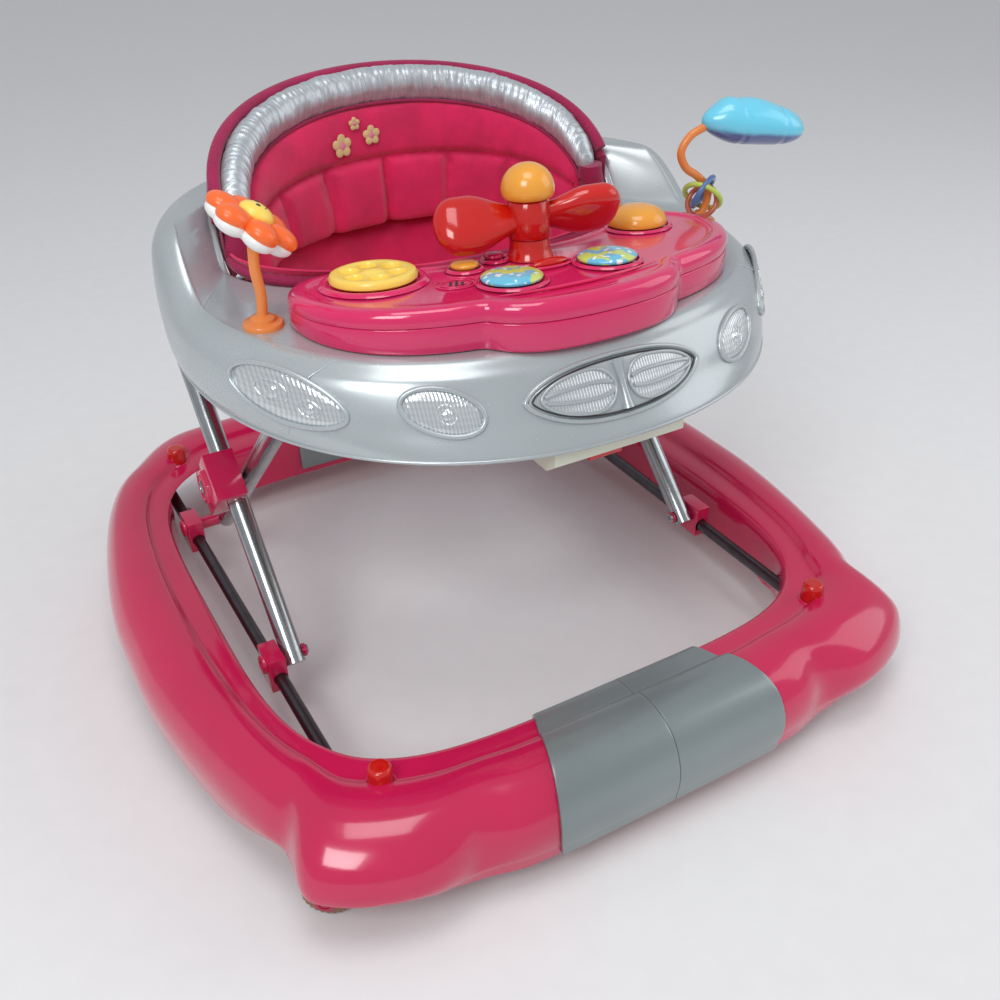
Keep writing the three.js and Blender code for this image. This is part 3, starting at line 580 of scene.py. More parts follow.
    @staticmethod
    def tube(name: str, path: Iterable[Vector], radius: float, closed: bool = False, sides: int = 6,
             radii: Sequence[float] | None = None) -> bpy.types.Object:
        """A round bar along a path, made as a thick curve and turned into a mesh.

        Args:
            name: The piece's name.
            path: The points of its middle in millimetres.
            radius: Its radius.
            closed: Whether it joins up.
            sides: A quarter of its faces round, less one.
            radii: Shares of the radius at each point.

        Returns:
            The piece.
        """
        points = list(path)
        data = bpy.data.curves.new(name, "CURVE")
        data.dimensions, data.use_fill_caps = "3D", True
        data.bevel_depth, data.bevel_resolution = radius * MM, sides
        line = data.splines.new("POLY")
        line.points.add(len(points) - 1)
        for i, point in enumerate(points):
            line.points[i].co = (*(point * MM), 1)
            line.points[i].radius = radii[i] if radii else 1.0
        line.use_cyclic_u = closed
        piece = bpy.data.objects.new(name, data)
        bpy.context.scene.collection.objects.link(piece)
        Bench.hold(piece)
        bpy.ops.object.convert(target="MESH")
        Bench.weld(piece)
        return piece

    @staticmethod
    def refined(node: str, name: str, edge: float = 0.8, segments: int = 3) -> bpy.types.Object:
        """A copy of a model node with its flat faces made whole and its edges rounded."""
        source = frame["nodes"][node]
        piece = bpy.data.objects.new(name, source.data.copy())
        bpy.context.scene.collection.objects.link(piece)
        piece.data.materials.clear()
        Bench.weld(piece)
        Bench.edit(piece, lambda: bpy.ops.mesh.dissolve_limited(angle_limit=math.radians(2)))
        Bench.modify(piece, "BEVEL", width=edge * MM, segments=segments, limit_method="ANGLE",
                     angle_limit=math.radians(38), use_clamp_overlap=True)
        return piece

    @staticmethod
    def put(piece: bpy.types.Object, turn: Matrix | None = None,
            at: Vector | None = None) -> bpy.types.Object:
        """Turns a piece and then moves it, all inside its mesh; at is in millimetres."""
        if turn is not None:
            piece.data.transform(turn.to_4x4())
        if at is not None:
            piece.data.transform(Matrix.Translation(at * MM))
        return piece

    @staticmethod
    def ball(name: str, size: Vector, centre: Vector, turn: Matrix | None = None,
             power: float = 1.0) -> bpy.types.Object:
        """A puffed pebble with three half sizes, blunter where power is below 1."""
        def rule(u: float, v: float) -> Vector:
            a, b = 2 * math.pi * u, math.pi * (v - 0.5)
            flat = abs(math.cos(b)) ** power
            rise = math.copysign(abs(math.sin(b)) ** power, b)
            return Vector((size.x * flat * math.cos(a), size.y * flat * math.sin(a), size.z * rise))
        return Bench.put(Bench.shaped(name, rule, 40, 24), turn, centre)

    @staticmethod
    def joined(name: str, pieces: Sequence[bpy.types.Object]) -> bpy.types.Object:
        """Joins pieces of one finish into one."""
        Bench.hold(pieces[0])
        for piece in pieces:
            piece.select_set(True)
        bpy.ops.object.join()
        pieces[0].name = pieces[0].data.name = name
        return pieces[0]

    @staticmethod
    def carve(piece: bpy.types.Object, *cutters: bpy.types.Object) -> bpy.types.Object:
        """Cuts solid cutters out of a piece and throws them away."""
        for cutter in cutters:
            Bench.modify(piece, "BOOLEAN", object=cutter, operation="DIFFERENCE", solver="EXACT")
            bpy.data.objects.remove(cutter)
        return piece

    @staticmethod
    def finish(piece: bpy.types.Object, kit: Kit, body: str, *replaces: str,
               angle: float = 40) -> bpy.types.Object:
        """Smooths and dresses a piece, and lets it ride on its body.

        Args:
            piece: The finished mesh.
            kit: Its finish.
            body: The body that carries it.
            *replaces: Model nodes that it stands for.
            angle: Edges sharper than this stay crisp.

        Returns:
            The piece.
        """
        Bench.hold(piece)
        bpy.ops.object.shade_smooth_by_angle(angle=math.radians(angle))
        piece.data.materials.clear()
        piece.data.materials.append(kit.value.material())
        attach(piece, body)
        if replaces:
            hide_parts(*replaces)
        Bench.made.append(piece.name)
        log.info("%s: %s on %s, %d faces", piece.name, kit.value.name, body, len(piece.data.polygons))
        return piece


def facing(direction: Vector) -> Matrix:
    """The turn that points a piece's own +Z along a direction."""
    return direction.to_track_quat("Z", "Y").to_matrix()


# ---------------------------------------------------------------- base
@dataclass
class Base:
    """The moulded ring, its covers, the stopper knobs and the side rails."""

    half_width: float = 345
    half_length: float = 354
    inner_half: float = 264
    lip: float = 28
    castor_lip: float = 47
    cover_half: float = 106
    knob_x: float = 218.3
    knob_y: tuple[float, float] = (-269, 268.5)

    @staticmethod
    def rounded_square(angle: float, a: float, b: float, power: float) -> float:
        """Distance from the middle to a rounded square."""
        return (abs(math.cos(angle) / a) ** power + abs(math.sin(angle) / b) ** power) ** (-1 / power)

    @staticmethod
    def tilt(angle: float) -> float:
        """Degrees away from the side, 0 to 90."""
        return math.degrees(math.asin(min(abs(math.sin(angle)), 1)))

    def edges(self, angle: float) -> tuple[float, float]:
        """Inner and outer radius of the ring in a direction, waisted behind the fenders."""
        tilt, front = self.tilt(angle), math.sin(angle) < 0
        fall = (40, 47) if front else (46, 60)
        waist = smooth(tilt, 4, 40) * (1 - smooth(tilt, *fall))
        hip = 0.016 * bell(tilt, 63.5, 4) if front else 0
        outer = self.rounded_square(angle, self.half_width, self.half_length,
                                    4.5) * (1 - 0.068 * waist - hip)
        return self.rounded_square(angle, self.inner_half, self.inner_half, 4.35), outer

    def skin(self, angle: float, share: float, lift: float = 0) -> Vector:
        """A point on the ring's outside, from the inner foot over the top to the outer lip."""
        tilt, front = self.tilt(angle), math.sin(angle) < 0
        corner = bell(tilt, 47, 13, 4)
        lip = lerp(self.lip, self.castor_lip, corner)
        b = 3 * corner if front else 0
        lobe = max(0, 1 - ((tilt - 53) / 9.5) ** 4) if front else 0
        out, crease = 7 * lobe, 3.4 * (bell(tilt, 42.3, 1.4) + bell(tilt, 63.8, 2.2)) if front else 0
        points = [
            (0, max(34, lip - 4), -lift), (0, 56, -lift), (0, 78, -lift),
            (0.03, 87 + lift * 0.7, -lift * 0.7),
            (0.09, 89.6 + lift, 0), (0.2, 90.4 + lift, 0), (0.285, 91 + lift, 0), (0.32, 94 + lift, 0),
            (0.36, 97.6 + lift, 0), (0.44, 99.4 + lift + b * 0.2, 0), (0.54, 100 + b / 2 + lift, 0),
            (0.66, 98.2 + b * 0.8 + lift, lift / 3), (0.77, 94.4 + b + lift, lift / 2 - crease * 0.3),
            (0.87, 87 + b + lift * 0.7, lift + out * 0.4 - crease), (0.945, 77 + b, lift + out - crease),
            (0.985, 67, lift + b / 2 + out - crease), (1, 55, lift + b / 2 + out - crease * 0.8),
            (0.99, max(44, lip + 6), lift + out * 0.6), (0.975, max(40, lip + 3.4), lift + 0.6),
            (0.972, lip + 2.2, lift - 0.4), (0.96, lip + 1, lift), (0.93, lip, lift),
        ]
        s, z, offset = spline(points, share)
        inner, outer = self.edges(angle)
        r = lerp(inner, outer, s) + offset
        return Vector((r * math.cos(angle), r * math.sin(angle), z))

    def half(self, name: str, side: int) -> None:
        """One moulded half, with the slot that the rear slider runs in."""
        start, end = (270 - 0.03, 90 + 0.03) if side < 0 else (-90 + 0.03, 90 - 0.03)

        def rule(u: float, v: float) -> Vector:
            return self.skin(math.radians(lerp(start, end, u)), v)

        piece = Bench.walled(Bench.shaped(f"ring_{name}", rule, 230, 52, closed=False, flip=side > 0), 3)
        Bench.clear()
        bpy.ops.mesh.primitive_cube_add(size=1, location=(side * 0.21525, 0.228, 0.0535),
                                        scale=(0.0625, 0.096, 0.067))
        slot = bpy.context.object
        Bench.hold(slot)
        bpy.ops.object.transform_apply()
        Bench.carve(piece, slot)
        Bench.finish(piece, Kit.PINK, "base", f"base_{name}", angle=50)

    def cover(self, name: str, start: float, end: float, flip: bool) -> None:
        """A thin pearl cover that wraps the ring between two directions, in degrees."""
        def rule(u: float, v: float) -> Vector:
            bow = 0.9 * (1 - (2 * v - 1) ** 2)
            return self.skin(math.radians(lerp(start, end + math.copysign(bow, end - start), u)),
                             lerp(0.02, 1, v), 3.2)

        piece = Bench.walled(Bench.shaped(name, rule, 44, 60, closed=False, flip=flip), 2.7, 0.8)
        Bench.finish(piece, Kit.COVER, "base", name, angle=50)

    def knobs(self) -> None:
        """The four red caps that push the rubber stoppers down, each in a moulded collar."""
        profile = [(4, 82), (9.2, 82), (9.6, 84), (9.6, 104), (9.2, 106.8), (8.2, 108.6), (6.6, 109.3),
                   (3, 109.0), (0, 108.9)]
        for side_name, side in SIDES:
            for (end_name, _), y in zip(ENDS, self.knob_y):
                where = f"{end_name}_{side_name}"
                spot = Vector((side * self.knob_x, y, 0))
                knob = Bench.put(Bench.turned(f"knob_{where}", profile, 56), None, spot)
                Bench.finish(knob, Kit.RED, f"stopper_{where}", f"stopper_knob_{where}")
                deck = 91.6
                collar = [(10.1, deck - 6), (10.1, deck), (10.6, deck + 0.6), (11.6, deck + 0.5),
                          (13, deck - 1.2)]
                ring = Bench.put(Bench.ring(f"knob_collar_{where}", collar, 56, 14), None, spot)
                Bench.finish(ring, Kit.PINK, "base")
                foot = Bench.refined(f"stopper_foot_{where}", f"foot_{where}", 1.0)
                Bench.finish(foot, Kit.RUBBER, f"stopper_{where}", f"stopper_foot_{where}")

    def rails(self) -> None:
        """The dark side rails and the brackets that hold the front feet of the frame."""
        for name, side in SIDES:
            path = [Vector((side * 235, y, 64)) for y in (*range(-262, 285, 26), 284)]
            Bench.finish(Bench.tube(f"rail_{name}", path, 6), Kit.RAIL, "base", f"side_rail_{name}")
            Bench.finish(Bench.refined(f"front_bracket_{name}", f"bracket_{name}", 1.6), Kit.PINK, "base",
                         f"front_bracket_{name}")

    def build(self) -> None:
        """Builds and dresses the base."""
        reach = math.degrees(math.atan(self.cover_half / self.half_length))
        for name, side in SIDES:
            self.half(name, side)
            self.cover(f"front_cover_{name}", 270 + side * 0.05, 270 + side * reach, side > 0)
        self.cover("rear_cover", 90 - reach, 90 + reach, True)
        self.knobs()
        self.rails()


@dataclass
class Castors:
    """Four swivelling castors with ribbed rollers."""

    radius: float = 20
    width: float = 14
    ribs: int = 24

    def roller(self, u: float, v: float) -> Vector:
        """A point on the ribbed roller, whose axle is the Z axis."""
        a = 2 * math.pi * u
        groove = (0.5 - 0.5 * math.cos(self.ribs * a)) ** 3
        h = self.width / 2
        tread = self.radius - 0.15 - 1.5 * groove
        half = [(3, h), (11, h), (13, h - 1.2), (tread - 3, h - 0.6), (tread - 0.8, h - 1.6), (tread, h - 4)]
        profile = [*[(r, -z) for r, z in half], *reversed(half), (3, -h)]
        r, z = profile[round(v * 12)]
        return Vector((r * math.cos(a), r * math.sin(a), z))

    def build(self) -> None:
        """Builds and dresses each castor."""
        for joint in frame["joints"]:
            if not joint["name"].startswith("wheel_spin_"):
                continue
            where = joint["name"].removeprefix("wheel_spin_")
            axis, hub = Vector(joint["axis"]), Vector(joint["pos_m"]) * 1000
            wheel = Bench.put(Bench.shaped(f"roller_{where}", self.roller, 240, 12), facing(axis), hub)
            Bench.finish(wheel, Kit.ROLLER, f"wheel_{where}", f"castor_wheel_{where}", angle=50)
            fork = Bench.refined(f"castor_fork_{where}", f"fork_{where}", 0.9)
            Bench.finish(fork, Kit.CASTOR_PINK, f"castor_{where}", f"castor_fork_{where}")
            for end in (-1, 1):
                cup = [(7.6, 0), (7.6, 0.9), (6.9, 1.5), (4.6, 1.5), (4.2, 0.5), (3.4, 0.5), (3.2, 1.1),
                       (1.2, 1.2), (0.9, 0.3)]
                screw = Bench.put(Bench.turned(f"axle_cap_{where}_{'ab'[end > 0]}", cup, 36),
                                  facing(axis * end), hub + axis * end * (self.width / 2 + 3.9))
                Bench.finish(screw, Kit.CASTOR_PINK, f"castor_{where}")


# ---------------------------------------------------------------- folding frame
@dataclass
class FoldingFrame:
    """Two U-shaped steel tubes that cross, with their pink pivot blocks and sliders."""

    radius: float = 9.5
    outer_x: float = 218
    inner_x: float = 198.4
    foot_y: float = -80
    foot_z: float = 74
    angle: float = math.radians(44)
    half: float = 168
    reach: float = 350
    bend: float = 40

    def tube(self, x: float, foot_y: float, forward: int) -> list[Vector]:
        """The middle line of one tube from foot to foot over its crossbar."""
        lean = Vector((0, forward * math.cos(self.angle), math.sin(self.angle)))
        foot = Vector((0, foot_y, self.foot_z))

        def spot(across: float, along: float) -> Vector:
            return foot + lean * along + Vector((across, 0, 0))

        def corner(side: int) -> list[Vector]:
            arc = [math.radians(7.5 * i) for i in range(13)]
            base, r = self.reach - self.bend, self.bend
            return [spot(side * (x - r + r * math.cos(a)), base + r * math.sin(a)) for a in arc]

        legs = [-9, 60, 150, 240]
        return [*[spot(-x, a) for a in legs], *corner(-1), *reversed(corner(1)),
                *[spot(x, a) for a in reversed(legs)]]

    def build(self) -> None:
        """Builds and dresses the frame."""
        rear_y = 2 * (self.foot_y + self.half * math.cos(self.angle)) - self.foot_y
        centre = Vector((0, self.foot_y + self.half * math.cos(self.angle),
                         self.foot_z + self.half * math.sin(self.angle)))
        Bench.finish(Bench.tube("outer_tube", self.tube(self.outer_x, self.foot_y, 1), self.radius,
                                sides=8),
                     Kit.STEEL, "outer_arms", "outer_arm")
        Bench.finish(Bench.tube("inner_tube", self.tube(self.inner_x, rear_y, -1), self.radius, sides=8),
                     Kit.STEEL, "inner_arms", "inner_arm")
        for name, side in SIDES:
            block = Bench.refined(f"pivot_block_{name}", f"crossing_block_{name}", 2.2)
            Bench.finish(block, Kit.PINK, "outer_arms", f"pivot_block_{name}")
            slider = Bench.refined(f"rear_slider_{name}", f"slider_{name}", 1.6)
            Bench.finish(slider, Kit.PINK, f"slider_{name}", f"rear_slider_{name}")
            turn = facing(Vector((side, 0, 0)))
            rivet = [(6.4, 0), (6.4, 1.2), (5.4, 2.0), (3.6, 1.9), (3.2, 1.0), (1.4, 1.0), (1.2, 1.6),
                     (0, 1.7)]
            bolt = Bench.put(Bench.turned(f"crossing_rivet_{name}", rivet, 36), turn,
                             centre + Vector((side * 243.6, 0, 0)))
            Bench.finish(bolt, Kit.STEEL, "outer_arms")
            plate = [(14.2, -0.6), (14.2, 0.5), (13.2, 1.1), (12.2, 0.5), (12.0, -0.6)]
            ring = Bench.put(Bench.turned(f"crossing_ring_{name}", plate, 6), turn,
                             centre + Vector((side * 243.9, 0, 0)))
            Bench.finish(ring, Kit.PINK, "outer_arms")
            for bracket, y, x, body in (("front", self.foot_y, self.outer_x, "base"),
                                        ("rear", rear_y, self.inner_x, f"slider_{name}")):
                spot = Vector((side * (x - self.radius - 2.9), y, self.foot_z))
                pin = Bench.turned(f"pin_{bracket}_{name}", [(r * 0.7, h) for r, h in rivet], 36)
                pin = Bench.put(pin, facing(Vector((-side, 0, 0))), spot)
                Bench.finish(pin, Kit.STEEL, body)
                cap = Bench.put(Bench.turned(f"pin_cap_{bracket}_{name}",
                                             [(8.4, 0), (8.4, 0.8), (7.6, 1.4), (5, 1.4), (4.6, 0.7),
                                              (0, 0.7)], 40),
                                turn, Vector((side * 245.9, y, self.foot_z - 1)))
                Bench.finish(cap, Kit.PINK, body)


# ---------------------------------------------------------------- tray
@dataclass
class Tray:
    """The pearl tray shell with its lamps, grille, cream adjuster box and mouldings."""

    centre_y: float = -10
    hole_y: float = 45
    hole_half: float = 192
    hole_front: float = 110
    hole_rear: float = 136
    wall: float = 3

    @staticmethod
    def outline(angle: float, half: float, front: float, rear: float, power: float, z: float,
                centre_y: float) -> Vector:
        """A point on an oval that has its own front and rear lengths."""
        c, s = math.cos(angle), math.sin(angle)
        length = front if s < 0 else rear
        return Vector((math.copysign(abs(c) ** (2 / power), c) * half,
                       centre_y + math.copysign(abs(s) ** (2 / power), s) * length, z))

    def section(self, angle: float) -> list[Vector]:
        """Points of the outer skin from the seat hole over the deck to the rim."""
        def out(half: float, front: float, rear: float, z: float) -> Vector:
            return self.outline(angle, half, front, rear, 2.2, z, self.centre_y)

        def hole(grow: float, z: float) -> Vector:
            return self.outline(angle, self.hole_half + grow, self.hole_front + grow, self.hole_rear + grow,
                                2, z, self.hole_y)

        edge_y = out(234, 206, 204, 0).y
        wing = smooth(edge_y, -30, 50)
        top = lerp(385, 430, wing)
        brow, cheek = lerp(368, top - 22, wing), lerp(345, top - 50, wing)
        rim = lerp(325, 347, smooth(edge_y, 0, 110))
        inner, edge = hole(5, top), out(234, 206, 204, top)
        return [
            hole(2, top - 24), hole(0.5, top - 12), hole(0, top - 4), hole(1.4, top - 1), inner,
            inner.lerp(edge, 0.06), inner.lerp(edge, 0.5), inner.lerp(edge, 0.92), edge,
            out(240.5, 211, 209, top - 1.8), out(246, 216, 214, top - 6),
            out(250.5, 221, 219.5, lerp(top - 11, brow + 8, 0.5)), out(254, 226, 224, brow),
            out(255.6, 233.5, 226.6, lerp(brow, cheek, 0.5)), out(256, 240, 228, cheek),
            out(254, 247.5, 225.5, lerp(cheek, rim, 0.5)), out(250, 253, 222.4, rim + 2.4),
            out(249.4, 253, 221.6, rim),
        ]

    def skin(self, angle: float, share: float) -> Vector:
        """A point on the outer skin."""
        return Vector(spline(self.section(angle), share))

    @staticmethod
    def face(x: float, z: float) -> tuple[Vector, Vector]:
        """A point on the sloping front and the way that it faces."""
        share = (z - 345) / 23
        half, length = lerp(256, 254, share), lerp(240, 226, share)

        def front(px: float) -> float:
            return -10 - length * (1 - min(abs(px) / half, 0.999) ** 2.2) ** (1 / 2.2)

        normal = Vector(((front(x + 1) - front(x - 1)) / 2, -1, 14 / 23)).normalized()
        return Vector((x, front(x), z)), normal

    def on_face(self, x0: float, z0: float, turn: float, u: float, v: float, height: float) -> Vector:
        """A point over the sloping front, u along and v up from a spot on it."""
        point, normal = self.face(x0 + u * math.cos(turn) - v * math.sin(turn),
                                  z0 + u * math.sin(turn) + v * math.cos(turn))
        return point + normal * height

    def lens(self, name: str, x0: float, z0: float, half: float, rise: Callable[[float], float],
             turn: float, rings: Sequence[tuple[float, float, float]]) -> None:
        """A ribbed lens in a raised rim, with round bulbs moulded into it."""
        def rule(u: float, v: float) -> Vector:
            t, s = -math.cos(math.pi * u), 2 * v - 1
            dome = (1 - t ** 4) ** 0.5 * (1 - s ** 4) ** 0.5
            return self.on_face(x0, z0, turn, t * half, s * max(rise(t), 0.2), -1.2 + 4.0 * dome)

        Bench.finish(Bench.walled(Bench.shaped(f"{name}_lens", rule, 90, 44, closed=False), 0.8), Kit.LENS,
                     "tray", name)
        loop = turns(72)
        rim = [self.on_face(x0, z0, turn, math.cos(a) * (half + 0.6),
                            math.sin(a) * (rise(math.cos(a)) / max(abs(math.sin(a)), 0.05) + 0.6), 1.0)
               for a in loop]
        Bench.finish(Bench.tube(f"{name}_rim", rim, 1.9, closed=True), Kit.PEARL, "tray")
        for i, (u, v, r) in enumerate(rings):
            loop_path = [self.on_face(x0, z0, turn, u + r * math.cos(a), v + r * math.sin(a), 2.7)
                         for a in loop]
            Bench.finish(Bench.tube(f"{name}_bulb_ring_{i}", loop_path, 0.9, closed=True, sides=4),
                         Kit.LENS, "tray")
            bulb = Bench.ball(f"{name}_bulb_{i}", Vector((r * 0.75, r * 0.75, 2.2)),
                              self.on_face(x0, z0, turn, u, v, 2.2),
                              facing(self.face(x0 + u, z0 + v)[1]))
            Bench.finish(bulb, Kit.LENS, "tray")

    def grille(self) -> None:
        """The leaf-shaped grille: a rim, a plate, a divider and two panels with bars."""
        def rise(t: float) -> float:
            return 18 * max(1 - abs(t) ** 2.4, 0) ** 0.7

        def plate(u: float, v: float) -> Vector:
            t, s = -math.cos(math.pi * u), 2 * v - 1
            return self.on_face(0, 357, 0, t * 74, s * max(rise(t), 0.2),
                                -1.0 + 4.2 * (1 - t ** 8) ** 0.5 * (1 - s ** 8) ** 0.5)

        Bench.finish(Bench.walled(Bench.shaped("grille_plate", plate, 110, 40, closed=False), 0.8),
                     Kit.PEARL, "tray", "grille")
        loop = [2 * math.pi * (i + 0.5) / 120 for i in range(120)]

        def leaf(u0: float, half: float, high: float, height: float) -> list[Vector]:
            return [self.on_face(0, 357, 0, u0 + half * math.cos(a),
                                 high * math.copysign(max(1 - abs(math.cos(a)) ** 2.4, 0) ** 0.7,
                                                      math.sin(a)), height) for a in loop]

        Bench.finish(Bench.tube("grille_rim", leaf(0, 75, 19, 1.2), 1.8, closed=True), Kit.PEARL, "tray")
        # Painted shade: a dark bead stands in for the shade in the groove inside the rim.
        Bench.finish(Bench.tube("grille_groove", leaf(0, 70.5, 16.2, 2.6), 0.7, closed=True, sides=4),
                     Kit.DARK, "tray")
        for name, side in SIDES:
            def shape(t: float) -> float:
                return 12.4 * max(1 - abs(t) ** 2.6, 0) ** 0.55 * (1 - 0.3 * t)

            def panel(u: float, v: float, side: int = side) -> Vector:
                t, s = -math.cos(math.pi * u), 2 * v - 1
                return self.on_face(0, 357, 0, side * (35 + 29 * t), s * max(shape(t), 0.2),
                                    3.6 + 0.35 * (1 - s * s))

            face = Bench.shaped(f"grille_panel_{name}", panel, 60, 30, closed=False, flip=side < 0)
            sheet = Bench.walled(face, 0.6)
            Bench.finish(sheet, Kit.LENS, "tray")
            edge = [self.on_face(0, 357, 0, side * (35 + 29 * math.cos(a)),
                                 math.copysign(shape(math.cos(a)), math.sin(a)), 4.0) for a in loop]
            Bench.finish(Bench.tube(f"grille_panel_rim_{name}", edge, 1.25, closed=True), Kit.PEARL, "tray")
            for i, level in enumerate((-0.36, 0.36)):
                ends = 27.5 - 2.5 * abs(level)
                path = [self.on_face(0, 357, 0, side * (35 + ends * k / 12), level * shape(k / 12 * 0.9),
                                     4.4) for k in range(-12, 13)]
                Bench.finish(Bench.tube(f"grille_bar_{name}_{i}", path, 1.6), Kit.PEARL, "tray")
        middle = [self.on_face(0, 357, 0, 0, 15.5 * k / 8, 3.6) for k in range(-8, 9)]
        widths = [1.35 - 0.5 * math.cos(math.pi * k / 16) for k in range(-8, 9)]
        Bench.finish(Bench.tube("grille_divider", middle, 3.4, radii=widths), Kit.PEARL, "tray")

    def build(self) -> None:
        """Builds and dresses the tray."""
        shell = Bench.shaped("tray_skin", lambda u, v: self.skin(2 * math.pi * u, v), 260, 76, closed=False,
                             flip=True)
        Bench.finish(Bench.walled(shell, self.wall), Kit.PEARL, "tray", "tray_shell", angle=50)
        for name, side in SIDES:
            self.lens(f"headlight_{name}", side * 212, 359, 27,
                      lambda t, s=side: 17 * math.sqrt(max(1 - t * t, 0)) * (1 + 0.25 * s * t), side * 0.25,
                      [(side * 9, 1, 7.5), (side * -9, -2, 5.5)])
            self.lens(f"side_lamp_{name}", side * 129, 357, 25,
                      lambda t: 14 * math.sqrt(max(1 - t * t, 0)), side * 0.2, [(side * -2, -1, 6)])
            start = 223 if side < 0 else 317
            crease = [self.skin(math.radians(start + side * 11 * k / 24), 0.5 + 0.4 * k / 24)
                      for k in range(25)]
            fade = [math.sin(math.pi * (0.04 + 0.92 * k / 24)) for k in range(25)]
            Bench.finish(Bench.tube(f"crease_{name}", crease, 1.1, radii=fade), Kit.PEARL, "tray")
        lip = [self.skin(2 * math.pi * i / 240, 0.985) for i in range(240)]
        Bench.finish(Bench.tube("tray_rim_bead", lip, 1.5, closed=True), Kit.PEARL, "tray")
        self.grille()
        Bench.finish(Bench.refined("rear_cradle", "cradle", 2), Kit.DARK, "tray", "rear_cradle")
        Bench.finish(Bench.refined("adjuster_box", "height_box", 2.2), Kit.CREAM, "tray", "adjuster_box")
        Bench.finish(Bench.refined("adjuster_catch", "height_catch_lever", 0.9), Kit.RED, "catch",
                     "adjuster_catch")
        for i, y in enumerate((-205, -150, -95)):
            seam = [Vector((x, y, 299)) for x in (-57, -28, 0, 28, 57)]
            Bench.finish(Bench.tube(f"height_box_seam_{i}", seam, 0.9), Kit.CREAM, "tray")


